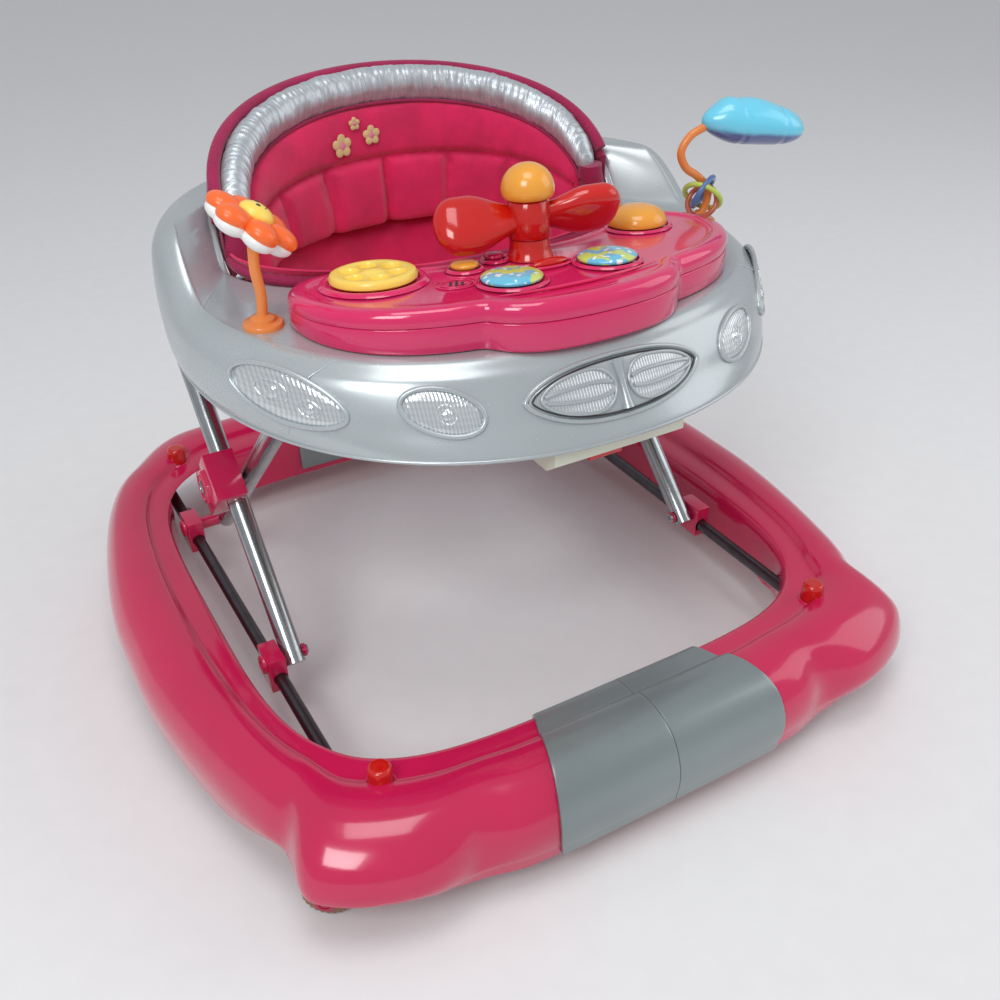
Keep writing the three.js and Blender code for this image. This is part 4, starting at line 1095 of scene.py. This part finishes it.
# ---------------------------------------------------------------- toy tray
@dataclass
class ToyTray:
    """The glossy pink toy tray with its dial, buttons, light and spinner."""

    base: float = 385.4
    split: float = 402.4
    top: float = 414
    press: tuple[tuple[str, float, float, float, float, Kit], ...] = (
        ("amber_button", 122, -92, 25, 15, Kit.AMBER), ("picture_button_left", -42, -162, 23, 5, Kit.PRINT),
        ("picture_button_right", 42, -162, 23, 5, Kit.PRINT),
        ("yellow_button", -54, -112, 11, 4, Kit.AMBER),
        ("pink_button", -24, -104, 8, 4, Kit.TOY_PINK),
    )
    dial: tuple[float, float] = (-122, -96)
    rotor: tuple[float, float] = (3, -114)
    outline_points: list[Vector] = field(default_factory=list)

    def __post_init__(self) -> None:
        """Works out the three-lobed outline at even steps."""
        spans = [
            ((-150, -52), (-178, -56), (-192, -84), (-187, -110)),
            ((-187, -110), (-182, -150), (-150, -186), (-84, -197)),
            ((-84, -197), (-70, -222), (-40, -228), (0, -228)),
            ((0, -228), (40, -228), (70, -222), (84, -197)),
            ((84, -197), (150, -186), (182, -150), (187, -110)),
            ((187, -110), (192, -84), (178, -56), (150, -52)),
            ((150, -52), (110, -48), (90, -88), (40, -88)),
            ((40, -88), (14, -88), (-14, -88), (-40, -88)),
            ((-40, -88), (-90, -88), (-110, -48), (-150, -52)),
        ]
        fine = []
        for p, q, r, s in spans:
            for i in range(60):
                t, w = i / 60, 1 - i / 60
                fine.append(Vector([w ** 3 * a + 3 * w * w * t * b + 3 * w * t * t * c + t ** 3 * d
                                    for a, b, c, d in zip(p, q, r, s)]))
        lengths = [0.0]
        for a, b in zip(fine, fine[1:] + fine[:1]):
            lengths.append(lengths[-1] + (b - a).length)
        count, found = 360, []
        k = 0
        for i in range(count):
            goal = lengths[-1] * i / count
            while lengths[k + 1] < goal:
                k += 1
            share = (goal - lengths[k]) / (lengths[k + 1] - lengths[k])
            found.append(fine[k].lerp(fine[(k + 1) % len(fine)], share))
        for _ in range(3):
            found = [(found[i - 1] + found[i] * 2 + found[(i + 1) % count]) / 4 for i in range(count)]
        self.outline_points = found

    def at(self, u: float, inset: float, z: float, centre: float = 0) -> Vector:
        """A point of the moulding: inset from the outline, then drawn in to the spine by the share centre."""
        n = len(self.outline_points)
        i = round(u * n) % n
        before, here, after = (self.outline_points[(i + k) % n] for k in (-2, 0, 2))
        along = (after - before).normalized()
        x, y = here + Vector((-along.y, along.x)) * inset
        spine_x = max(-118, min(118, x * 0.82))
        spine_y = -148 + 44 * (abs(spine_x) / 118) ** 1.6
        y = lerp(y, spine_y, centre)
        crest = self.top - (y + 140) * math.tan(math.radians(6))
        return Vector((lerp(x, spine_x, centre), y,
                       self.base + (z - self.base) * (crest - self.base) / (self.top - self.base)))

    def shell(self, name: str, profile: Sequence[tuple[float, float, float]], node: str) -> None:
        """One moulding from inset, height and centre shares, from its underside round to its top."""
        def rule(u: float, v: float) -> Vector:
            inset, z, centre = profile[round(v * (len(profile) - 1))]
            return self.at(u, inset, z, centre)

        Bench.finish(Bench.shaped(name, rule, 360, len(profile) - 1), Kit.TOY_PINK, "tray", node, angle=60)

    def spot(self, x: float, y: float, z: float = 0) -> Vector:
        """A place on the leaning top, z above it."""
        return leaned(Vector((x, y, self.top + z)))

    def place(self, piece: bpy.types.Object, x: float, y: float, z: float = 0) -> bpy.types.Object:
        """Stands a piece made at the origin on the leaning top."""
        return Bench.put(piece, Matrix.Rotation(math.radians(-6), 3, "X"), self.spot(x, y, z))

    def buttons(self) -> None:
        """The press buttons and the dial."""
        for name, x, y, radius, height, kit in self.press:
            dome = [(0, -9), (5.6, -9), (5.6, 1.0), (radius - 0.4, 1.4), (radius, 2.6)]
            dome += [(radius * math.cos(a) ** 0.8, 2.6 + (height - 0.6) * math.sin(a))
                     for a in (math.pi / 2 * i / 10 for i in range(1, 11))]
            Bench.finish(self.place(Bench.turned(f"{name}_cap", dome, 56), x, y), kit, name, name)
            seat = [(radius + 0.6, -2), (radius + 0.8, 0.1), (radius + 1.8, 0.9), (radius + 3.2, 0.6),
                    (radius + 4.6, -0.9)]
            Bench.finish(self.place(Bench.ring(f"{name}_collar", seat, 56), x, y), Kit.TOY_PINK, "tray")
        disc = Bench.turned("dial_disc", [(0, -7), (5.6, -7), (5.6, 0.8), (31.6, 0.8), (33, 2.0), (33, 4.8),
                                          (31.8, 6.6), (29, 7.6), (26, 7.2), (24, 6.9),
                                          (9, 6.9), (7.4, 7.6), (5, 8.4), (0, 8.6)], 72)
        bowl = [(5.6, 1.6), (6.6, 2.6), (7.0, 5.6), (8.2, 7.4), (9, 10)]
        holes = []
        for i in range(6):
            a = math.radians(60 * i + 20)
            spot = Vector((18.5 * math.cos(a), 18.5 * math.sin(a), 0))
            holes.append(Bench.put(Bench.turned(f"finger_{i}", bowl, 28), None, spot))
        Bench.finish(self.place(Bench.carve(disc, *holes), *self.dial), Kit.YELLOW, "finger_dial",
                     "finger_dial", angle=35)
        well = [(34.2, -1.5), (34.6, 0.4), (36.4, 1.4), (39, 1.2), (42, -1.1)]
        Bench.finish(self.place(Bench.ring("dial_collar", well, 80), *self.dial), Kit.TOY_PINK, "tray")

    def details(self) -> None:
        """The red light, the speaker holes and the moulded lines round it."""
        Bench.finish(self.place(Bench.ball("light_slot", Vector((16, 5, 4)), Vector((0, 0, 1.2))), 1, -146),
                     Kit.RED, "tray", "red_light")
        frame_path = [self.spot(1 + 19 * math.cos(a), -146 + 7.6 * math.sin(a), 0) for a in turns(48)]
        Bench.finish(Bench.tube("light_frame", frame_path, 1.1, closed=True, sides=4), Kit.TOY_PINK, "tray")
        # Painted shade: dark dots stand in for the shade inside the speaker holes.
        dots = [self.place(Bench.ball(f"dot_{i}", Vector((1.1, 1.1, 0.7)), Vector((0, 0, -1.2))),
                           -76 + (5 * math.cos(math.radians(60 * i)) if i < 6 else 0),
                           -140 + (5 * math.sin(math.radians(60 * i)) if i < 6 else 0))
                for i in range(7)]
        Bench.finish(Bench.joined("speaker_holes", dots), Kit.DARK, "tray")
        for i, r in enumerate((9.5, 13)):
            arc = [self.spot(-76 + r * 1.25 * math.cos(a), -140 + r * math.sin(a), -1.3) for a in turns(40)]
            Bench.finish(Bench.tube(f"speaker_ring_{i}", arc, 0.7, closed=True, sides=4), Kit.TOY_PINK,
                         "tray")
        sweep = [self.spot(x, -197 + 14 * (x / 84) ** 2, -1.0) for x in range(-70, 71, 7)]
        fade = [math.sin(math.pi * (k + 0.5) / 21) ** 0.6 for k in range(21)]
        Bench.finish(Bench.tube("front_sweep", sweep, 1.4, radii=fade), Kit.TOY_PINK, "tray")

    def spinner(self) -> None:
        """The turning paddles on their pillar under an amber dome."""
        x, y = self.rotor
        pillar = [(18.5, -1.2), (18, 1.2), (16.6, 3), (15.8, 9), (15.4, 14), (0, 14.2)]
        Bench.finish(self.place(Bench.turned("pillar", pillar, 48), x, y), Kit.RED, "tray",
                     "spinner_pillar")
        hub = Bench.turned("hub", [(4.6, 14.7), (16, 14.7), (17, 16), (16.6, 30), (16, 41.6), (15, 42.8),
                                   (4.6, 42.8)], 48)

        def paddle(u: float, v: float) -> Vector:
            t = 0.5 - 0.5 * math.cos(math.pi * v)
            a = 2 * math.pi * u
            grow = smooth(t, 0.0, 0.55)
            round_end = math.sqrt(max(1 - max((t - 0.72) / 0.28, 0) ** 2, 0))
            high = lerp(11, 22.5, grow) * max(round_end, 0.01) * (1 if v > 0 else 0.02)
            deep = lerp(7, 11.5, grow) * max(round_end, 0.01) * (1 if v > 0 else 0.02)
            along = 11 + 65 * t
            blunt = 0.82
            return Vector((along, deep * math.copysign(abs(math.cos(a)) ** blunt, math.cos(a)),
                           30 - 0.5 + high * math.copysign(abs(math.sin(a)) ** blunt, math.sin(a))))

        blades = []
        for i in range(2):
            blade = Bench.shaped(f"blade_{i}", paddle, 48, 40)
            turn = Matrix.Rotation(math.pi * i, 3, "Z") @ Matrix.Rotation(0.66, 3, "X")
            lift = Vector((0, 0, 30))
            blade.data.transform(Matrix.Translation(lift * -MM))
            blade.data.transform(turn.to_4x4())
            blade.data.transform(Matrix.Translation(lift * MM))
            blades.append(blade)
        rotor = Bench.put(Bench.joined("rotor", [hub, *blades]), Matrix.Rotation(math.radians(-10), 3, "Z"))
        Bench.finish(self.place(rotor, x, y), Kit.RED, "spinner", "spinner_rotor")
        dome = [(0, 43.4), (14, 43.4), (18.6, 44.8), (20.4, 49), (20, 55), (17.6, 61), (13, 66), (7, 69.2),
                (0, 70.4)]
        Bench.finish(self.place(Bench.turned("dome", dome, 56, 24), x, y), Kit.AMBER, "tray",
                     "spinner_dome", angle=60)

    def build(self) -> None:
        """Builds and dresses the toy tray."""
        b, s, t = self.base, self.split, self.top
        self.shell("toy_tray_lower", [(40, b + 0.1, 1), (20, b + 0.1, 0.3), (6, b, 0), (1.4, b, 0),
                                      (0.4, b + 0.5, 0), (0, b + 1.6, 0),
                                      (0, s - 1.0, 0), (0.2, s - 0.4, 0), (0.8, s - 0.12, 0),
                                      (12, s - 0.1, 0), (20, s - 0.1, 0.5), (30, s - 0.1, 1)],
                   "toy_tray_base")
        self.shell("toy_tray_upper", [(30, s + 0.1, 1), (12, s + 0.1, 0), (0.8, s + 0.12, 0),
                                      (0.2, s + 0.4, 0), (0, s + 1.0, 0), (0, t - 8, 0),
                                      (0.35, t - 5.6, 0), (1.5, t - 3.2, 0), (3.4, t - 1.3, 0),
                                      (6, t - 0.3, 0), (9, t, 0), (12, t, 0), (13.6, t - 0.4, 0),
                                      (14.8, t - 1.4, 0), (16, t - 2.0, 0), (19, t - 2.2, 0),
                                      (21, t - 2.2, 0.06), (22, t - 2.1, 0.25), (23, t - 1.9, 0.5),
                                      (24, t - 1.8, 0.75), (24, t - 1.8, 1)], "toy_tray_top")
        self.buttons()
        self.details()
        self.spinner()


@dataclass
class StalkToys:
    """The flower on the left and the bird with its rings on the right."""

    flower: Vector = field(default_factory=lambda: Vector((-204, -79, 385.4)))
    bird: Vector = field(default_factory=lambda: Vector((219, -58, 385.4)))
    heading: float = math.radians(-8)

    def stem(self, name: str, foot: Vector, path: Sequence[tuple[float, float]], radius: float,
             heading: float) -> bpy.types.Object:
        """A wavy bar in an upright plane, with a stepped flange at its foot."""
        forward = Vector((math.cos(heading), math.sin(heading), 0))
        points = [foot + forward * u + Vector((0, 0, z))
                  for u, z in (spline(path, k / 48) for k in range(49))]
        bar = Bench.tube(name, points, radius, sides=6)
        foot_shape = [(15, -0.4), (15, 2), (14.2, 3), (10.4, 3.4), (9.6, 4), (9.2, 6), (7.8, 7), (4.4, 8.4),
                      (4, 10)]
        flange = Bench.put(Bench.turned(f"{name}_flange", foot_shape, 48),
                           None, foot)
        return Bench.joined(name, [bar, flange])

    def build(self) -> None:
        """Builds and dresses both toys."""
        self.build_flower()
        self.build_bird()

    def build_flower(self) -> None:
        """Orange petals with a white back and a yellow face."""
        Bench.finish(self.stem("flower_stem", self.flower, [(0, 5), (1, 24), (-1, 43), (0, 63)], 4, 0),
                     Kit.STALK, "tray", "flower_stalk")
        centre = self.flower + Vector((0, 0, 74.6))
        turn = facing(Vector((0.55, -0.12, 0.82)).normalized())
        petals, backs = [], []
        for i in range(6):
            a = math.radians(60 * i + 12)
            out = Vector((math.cos(a), math.sin(a), 0))
            lean = Matrix.Rotation(a, 3, "Z")
            petals.append(Bench.ball(f"petal_{i}", Vector((13.6, 12.4, 8)), out * 21 + Vector((0, 0, 3))))
            petals[-1].data.transform(Matrix.Translation(-(out * 21) * MM))
            petals[-1].data.transform(lean.to_4x4())
            petals[-1].data.transform(Matrix.Translation((out * 21) * MM))
            backs.append(Bench.ball(f"petal_back_{i}", Vector((13.2, 12.4, 7)),
                                    out * 20.6 + Vector((0, 0, -2.4))))
        petals.append(Bench.ball("petal_middle", Vector((16, 16, 9)), Vector((0, 0, 3))))
        backs.append(Bench.ball("back_middle", Vector((16, 16, 8)), Vector((0, 0, -3))))
        Bench.finish(Bench.put(Bench.joined("flower_petals", petals), turn, centre), Kit.ORANGE, "flower",
                     "flower_head")
        Bench.finish(Bench.put(Bench.joined("flower_back", backs), turn, centre), Kit.WHITE, "flower")
        Bench.finish(Bench.put(Bench.ball("flower_face", Vector((13, 13, 7.4)), Vector((0, 0, 9))), turn,
                               centre), Kit.YELLOW, "flower")
        eyes = [Bench.ball(f"eye_{i}", Vector((1.3, 1.7, 0.8)), Vector((x, 2.6, 16.0)))
                for i, x in enumerate((-4, 4))]
        smile = Bench.tube("smile", [Vector((5 * math.sin(a), -1 - 3 * math.cos(a), 15.7 - 0.02 * abs(a)))
                                     for a in
                                     (math.radians(-60 + 10 * k) for k in range(13))], 0.5, sides=3)
        Bench.finish(Bench.put(Bench.joined("flower_eyes", [*eyes, smile]), turn, centre), Kit.DARK,
                     "flower")

    def build_bird(self) -> None:
        """The bird, its wavy stalk and three loose rings."""
        path = [(0, 4), (6, 16), (6, 30), (-6, 42), (-19, 51), (-25, 65), (-17, 78), (-4, 84)]
        Bench.finish(self.stem("bird_stem", self.bird, path, 3.6, self.heading), Kit.STALK, "bird",
                     "bird_stalk")

        def body(u: float, v: float) -> Vector:
            t, a = 0.5 - 0.5 * math.cos(math.pi * v), 2 * math.pi * u
            girth = (1 - abs(2 * t - 1) ** 3.4) ** 0.5 if 0 < v < 1 else 0.0
            fat = max(girth * lerp(0.8, 1.08, smooth(t, 0, 0.35)), 0.01)
            up = max(math.sin(a), 0)
            wing = 3.4 * bell(t, 0.2, 0.1) * up + 2.4 * bell(t, 0.5, 0.16) * up ** 2
            groove = 0.9 * bell(t, 0.34, 0.02) + 0.9 * bell(t, 0.74, 0.02)
            rise = 89 - 13 * t ** 1.5 + ((19 - 4 * t) * fat + wing * fat - groove) * math.sin(a)
            return Vector((-6 + 100 * t, (20 * fat - groove) * math.cos(a), rise))

        turn = Matrix.Rotation(self.heading - math.radians(4), 3, "Z")
        Bench.finish(Bench.put(Bench.shaped("bird_shape", body, 64, 80), turn, self.bird), Kit.BIRD, "bird",
                     "bird_body", angle=60)
        for i, (radius, z, tilt, spin, kit) in enumerate(((17, 23, 50, 28, Kit.GREEN),
                                                          (15, 27, 64, 120, Kit.BLUE),
                                                          (14, 18, 58, 200, Kit.RUST))):
            loop = [Vector((radius * math.cos(a), radius * math.sin(a), 0)) for a in turns(64)]
            ring = Bench.tube(f"loose_ring_{i}", loop, 2.4, closed=True)
            twist = (Matrix.Rotation(math.radians(spin), 3, "Z")
                     @ Matrix.Rotation(math.radians(tilt), 3, "Y"))
            Bench.put(ring, twist, self.bird + Vector((2, 0, z)))
            Bench.finish(ring, kit, "bird", *(["toy_ring"] if i == 0 else []))


# ---------------------------------------------------------------- seat
@dataclass
class Seat:
    """The padded seat back, its satin bolster and piping, and the sling."""

    half_width: float = 180
    half_depth: float = 122
    centre_y: float = 44
    bottom: float = 392
    top: float = 503
    span: float = 84

    def point(self, angle: float, grow: float, z: float) -> Vector:
        """A point of the seat back in plan."""
        return Vector(((self.half_width + grow) * math.sin(angle),
                       self.centre_y + (self.half_depth + grow) * math.cos(angle), z))

    def crest(self, angle: float) -> float:
        """Height of the seat back's top edge."""
        return self.bottom + (self.top - self.bottom) * max(math.cos(angle), 0.02) ** 0.45

    def seam_height(self, angle: float) -> float:
        """Height of the curved seam across the pad."""
        return lerp(self.bottom, self.crest(angle) - 33, 0.44)

    def stitched(self, angle: float, z: float) -> float:
        """How near a place is to a seam: 1 on it, 0 away from it."""
        line = bell(z, self.seam_height(angle), 3.2)
        below = smooth(self.seam_height(angle) + 2 - z, 0, 3)
        channel = max(bell(math.degrees(angle), spot, 1.7) for spot in (-50, -25, 0, 25, 50)) * below
        return max(line, channel)

    def pad(self) -> None:
        """The quilted seat back: shaped, then blown up gently as cloth between its seams."""
        def rule(u: float, v: float) -> Vector:
            angle = math.radians(lerp(-self.span - 3, self.span + 3, u))
            top = max(self.crest(angle) - 30, self.bottom + 14)
            low = self.bottom - 24
            ring = [(-30, low), (-29, lerp(low, top, 0.3)), (-27, lerp(low, top, 0.65)), (-24, top - 4),
                    (-18, top + 1),
                    (-12, top - 4), (-12, lerp(low, top, 0.5)), (-15, low), (-22, low - 3)]
            grow, z = spline(ring, v, closed=True)
            lean = max(z - self.bottom, 0) * 0.12
            front = 1 if grow < -22 else 0
            seam = self.stitched(angle, z)
            puff = 3.0 * front * (1 - seam) * smooth(self.span - abs(math.degrees(angle)), 0, 8)
            shut = smooth(u, 0, 0.035) * smooth(1 - u, 0, 0.035)
            return self.point(angle, lerp(2, grow + lean - puff + 3.4 * front * seam, max(shut, 0.02)), z)

        piece = Bench.shaped("seat_pad", rule, 210, 64)
        Bench.edit(piece, lambda: bpy.ops.mesh.fill_holes(sides=0),
                   lambda: bpy.ops.mesh.normals_make_consistent(inside=False))
        self.blow(piece)
        Bench.finish(piece, Kit.CLOTH, "tray", "seat_backrest", angle=70)

    def motif(self) -> None:
        """Three plain stitched blossoms on the pad."""
        petals, hearts = [], []
        for k, (degrees, z, size) in enumerate(((-17, 444, 6.4), (-5, 449, 5.4), (-11, 461, 3.6))):
            angle = math.radians(degrees)
            spot = self.point(angle, -32.6 + (z - self.bottom) * 0.12, z)
            turn = facing(Vector((-math.sin(angle) * 0.8, -math.cos(angle), 0.1)).normalized())
            for i in range(5):
                a = math.radians(72 * i + 20)
                away = turn @ Vector((math.cos(a), math.sin(a), 0)) * size
                petals.append(Bench.ball(f"petal_{k}_{i}", Vector((size * 0.66, size * 0.66, 0.9)),
                                         spot + away, turn))
            hearts.append(Bench.ball(f"heart_{k}", Vector((size * 0.6, size * 0.6, 1.3)), spot, turn))
        Bench.finish(Bench.joined("stitched_petals", petals), Kit.THREAD, "tray")
        Bench.finish(Bench.joined("stitched_hearts", hearts), Kit.THREAD_PINK, "tray")

    def blow(self, piece: bpy.types.Object) -> None:
        """Remeshes the pad, swells it as cloth pinned along its seams, then presses the seams in."""
        Bench.modify(piece, "REMESH", mode="VOXEL", voxel_size=0.0046)
        before = [v.co.copy() for v in piece.data.vertices]
        pins = piece.vertex_groups.new(name="seams")
        for vertex in piece.data.vertices:
            x, y, z = vertex.co / MM
            angle = math.atan2(x / self.half_width, (y - self.centre_y) / self.half_depth)
            reach = math.hypot(x / self.half_width, (y - self.centre_y) / self.half_depth)
            inner = reach < 0.88
            edge = z < self.bottom - 16 or abs(math.degrees(angle)) > self.span - 3
            hold = 1.0 if edge or not inner else self.stitched(angle, z)
            if hold > 0.4:
                pins.add([vertex.index], min(1.0, hold * 1.2), "REPLACE")
        cloth = piece.modifiers.new("swell", "CLOTH")
        cloth.settings.use_pressure, cloth.settings.uniform_pressure_force = True, 4
        cloth.settings.effector_weights.gravity, cloth.settings.vertex_group_mass = 0, "seams"
        cloth.settings.quality = 5
        cloth.settings.tension_stiffness = cloth.settings.compression_stiffness = 12
        cloth.collision_settings.use_self_collision = False
        for number in range(1, 21):
            bpy.context.scene.frame_set(number)
        swollen = piece.evaluated_get(bpy.context.evaluated_depsgraph_get()).to_mesh()
        after = [v.co.copy() for v in swollen.vertices]
        piece.modifiers.remove(cloth)
        bpy.context.scene.frame_set(1)
        for vertex, start, end in zip(piece.data.vertices, before, after):
            move = end - start
            vertex.co = start + move * min(1.0, 0.007 / max(move.length, 1e-9))
        Bench.modify(piece, "SUBSURF", levels=1, render_levels=1)
        for vertex in piece.data.vertices:
            x, y, z = vertex.co / MM
            angle = math.atan2(x / self.half_width, (y - self.centre_y) / self.half_depth)
            if math.hypot(x / self.half_width, (y - self.centre_y) / self.half_depth) < 0.88:
                outward = Vector((math.sin(angle), math.cos(angle), 0))
                vertex.co += outward * self.stitched(angle, z) * 4.6 * MM

    def bolster(self) -> None:
        """The silver satin roll round the top, gathered across its length."""
        def rule(u: float, v: float) -> Vector:
            angle, a = math.radians(lerp(-self.span - 2, self.span + 2, u)), 2 * math.pi * v
            middle = max(self.crest(angle) - 15, self.bottom + 26)
            fine = noise.noise(Vector((u * 130, math.cos(a), math.sin(a))))
            broad = noise.noise(Vector((u * 24, math.sin(a), 7)))
            pucker = fine * 0.8 + broad * 0.9
            end = math.sqrt(max(1 - (2 * u - 1) ** 24, 0.0004))
            return self.point(angle, -6.5 + (12.6 + pucker) * end * math.cos(a),
                              middle + (16 + pucker) * end * math.sin(a))

        piece = Bench.shaped("satin_bolster", rule, 640, 40)
        Bench.edit(piece, lambda: bpy.ops.mesh.fill_holes(sides=0),
                   lambda: bpy.ops.mesh.normals_make_consistent(inside=False))
        Bench.finish(piece, Kit.SATIN, "tray", "seat_bolster", angle=80)

    def edging(self) -> None:
        """Piping between pad and bolster, the outer binding and the back cloth."""
        steps = [math.radians(lerp(-self.span, self.span, k / 120)) for k in range(121)]

        def line(grow: float, drop: float, name: str, radius: float, kit: Kit,
                 floor: float = 16) -> bpy.types.Object:
            path = [self.point(a, grow, max(self.crest(a) - drop, self.bottom + floor)) for a in steps]
            return Bench.finish(Bench.tube(name, path, radius), kit, "tray", angle=60)

        line(9, 3, "outer_piping", 5.4, Kit.PIPING, 36)
        line(11.5, 13, "outer_welt", 4.2, Kit.PIPING, 28)
        line(-15, 29, "inner_piping", 1.6, Kit.PIPING, 12)
        for name, side in SIDES:
            angle = side * math.radians(self.span + 1)
            path = [self.point(angle, -3 + 2 * math.sin(k), self.bottom - 10 + 7 * k) for k in range(6)]
            Bench.finish(Bench.tube(f"end_binding_{name}", path, 11.5), Kit.PIPING, "tray", angle=60)

        def back(u: float, v: float) -> Vector:
            angle = math.radians(lerp(-self.span - 3, self.span + 3, u))
            high = max(self.crest(angle) - 8, self.bottom + 32)
            z = lerp(self.bottom - 30, high, v)
            wave = 1.2 * noise.noise(Vector((u * 40, v * 2, 3)))
            return self.point(angle, 10 + 2.5 * math.sin(math.pi * v) + wave - 6 * (1 - v), z)

        sheet = Bench.walled(Bench.shaped("back_cloth", back, 200, 24, closed=False, flip=True), 1.2)
        Bench.finish(sheet, Kit.PIPING, "tray", angle=70)

    def sling(self) -> None:
        """The cloth sling that hangs in the tray's hole, with a hole for each leg."""
        def rule(u: float, v: float) -> Vector:
            a = 2 * math.pi * u
            levels = [(187, 106, 132, 396), (180, 101, 126, 384), (168, 98, 116, 370), (150, 100, 104, 350),
                      (140, 94, 95, 310), (124, 84, 84, 268),
                      (96, 68, 68, 238), (56, 44, 44, 226), (1, 1, 1, 222)]
            half, front, rear, z = spline(levels, v)
            ripple = noise.noise(Vector((3 * math.cos(a), 3 * math.sin(a), v * 6)))
            slack = 2.2 * ripple * smooth(v, 0.05, 0.3)
            s = math.sin(a)
            return Vector(((half + slack) * math.cos(a), 45 + (front if s < 0 else rear) * s,
                           z - 2 * bell(math.degrees(a) % 90, 45, 20) * v))

        piece = Bench.walled(Bench.shaped("sling", rule, 160, 60, closed=False, flip=True), 2)
        cutters = []
        for name, side in SIDES:
            Bench.clear()
            bpy.ops.mesh.primitive_cylinder_add(vertices=64, radius=0.038, depth=0.16,
                                                location=(side * 0.058, -0.005, 0.24),
                                                rotation=(math.radians(-32), 0, 0))
            cutters.append(bpy.context.object)
            bpy.ops.object.transform_apply()
        Bench.carve(piece, *cutters)
        Bench.finish(piece, Kit.CLOTH, "tray", "seat_pouch", angle=70)
        rim = [Vector((185 * math.cos(a), 45 + (105 if math.sin(a) < 0 else 131) * math.sin(a),
                       389 + 3 * math.sin(3 * a)))
               for a in (math.radians(lerp(168, 372, k / 120)) for k in range(121))]
        Bench.finish(Bench.tube("front_welt", rim, 5, sides=5), Kit.PIPING, "tray", angle=60)

    def build(self) -> None:
        """Builds and dresses the seat."""
        self.pad()
        self.motif()
        self.bolster()
        self.edging()
        self.sling()


# ---------------------------------------------------------------- studio
@dataclass
class Studio:
    """The pale floor, soft lights and the camera."""

    camera_at: tuple[float, float, float] = (-0.41371, -0.78076, 0.69998)
    target: tuple[float, float, float] = (-0.01822, -0.10398, 0.18473)
    lens: float = 37.76

    def lamp(self, name: str, at: tuple[float, float, float], size: float, power: float) -> None:
        """A square soft light that looks at the object's middle."""
        data = bpy.data.lights.new(name, "AREA")
        data.shape, data.size, data.energy = "SQUARE", size, power
        lamp = bpy.data.objects.new(name, data)
        bpy.context.scene.collection.objects.link(lamp)
        lamp.location = at
        lamp.rotation_euler = (Vector((0, 0, 0.25)) - Vector(at)).to_track_quat("-Z", "Y").to_euler()

    def build(self) -> None:
        """Sets up floor, light and camera."""
        Bench.clear()
        bpy.ops.mesh.primitive_plane_add(size=12, location=(0, 0, -0.0005))
        floor = bpy.context.object
        floor.name = "studio_floor"
        net = Net("studio_floor_paint")
        speck = net.noise(net.place(), 40, 3)
        tone = net.mix(speck, paint((236, 236, 236)), paint((242, 242, 242)))
        floor.data.materials.append(net.shade(Base_Color=tone, Roughness=0.85))
        world = bpy.data.worlds.new("studio_world")
        world.use_nodes = True
        world.node_tree.nodes["Background"].inputs[0].default_value = (0.93, 0.95, 1.0, 1)
        world.node_tree.nodes["Background"].inputs[1].default_value = 0.5
        bpy.context.scene.world = world
        self.lamp("window_light", (-1.35, -1.2, 1.75), 0.8, 17)
        self.lamp("room_light", (1.9, -0.9, 1.3), 1.4, 8)
        self.lamp("ceiling_light", (-0.3, -0.5, 2.4), 1.0, 12)
        data = bpy.data.cameras.new("front_camera")
        data.lens, data.sensor_width, data.clip_start = self.lens, 36, 0.01
        camera = bpy.data.objects.new("front_camera", data)
        bpy.context.scene.collection.objects.link(camera)
        camera.location = self.camera_at
        sight = Vector(self.target) - Vector(self.camera_at)
        camera.rotation_euler = sight.to_track_quat("-Z", "Y").to_euler()
        bpy.context.scene.camera = camera
        bpy.context.scene.view_settings.view_transform = "Standard"


def main() -> None:
    """Builds every sub-assembly in order."""
    logging.basicConfig(level=logging.INFO, format="%(name)s: %(message)s")
    for part in (Base(), Castors(), FoldingFrame(), Tray(), ToyTray(), StalkToys(), Seat(), Studio()):
        part.build()
        log.info("%s done", type(part).__name__)
    log.info("%d pieces", len(Bench.made))


if __name__ == "__main__":
    main()
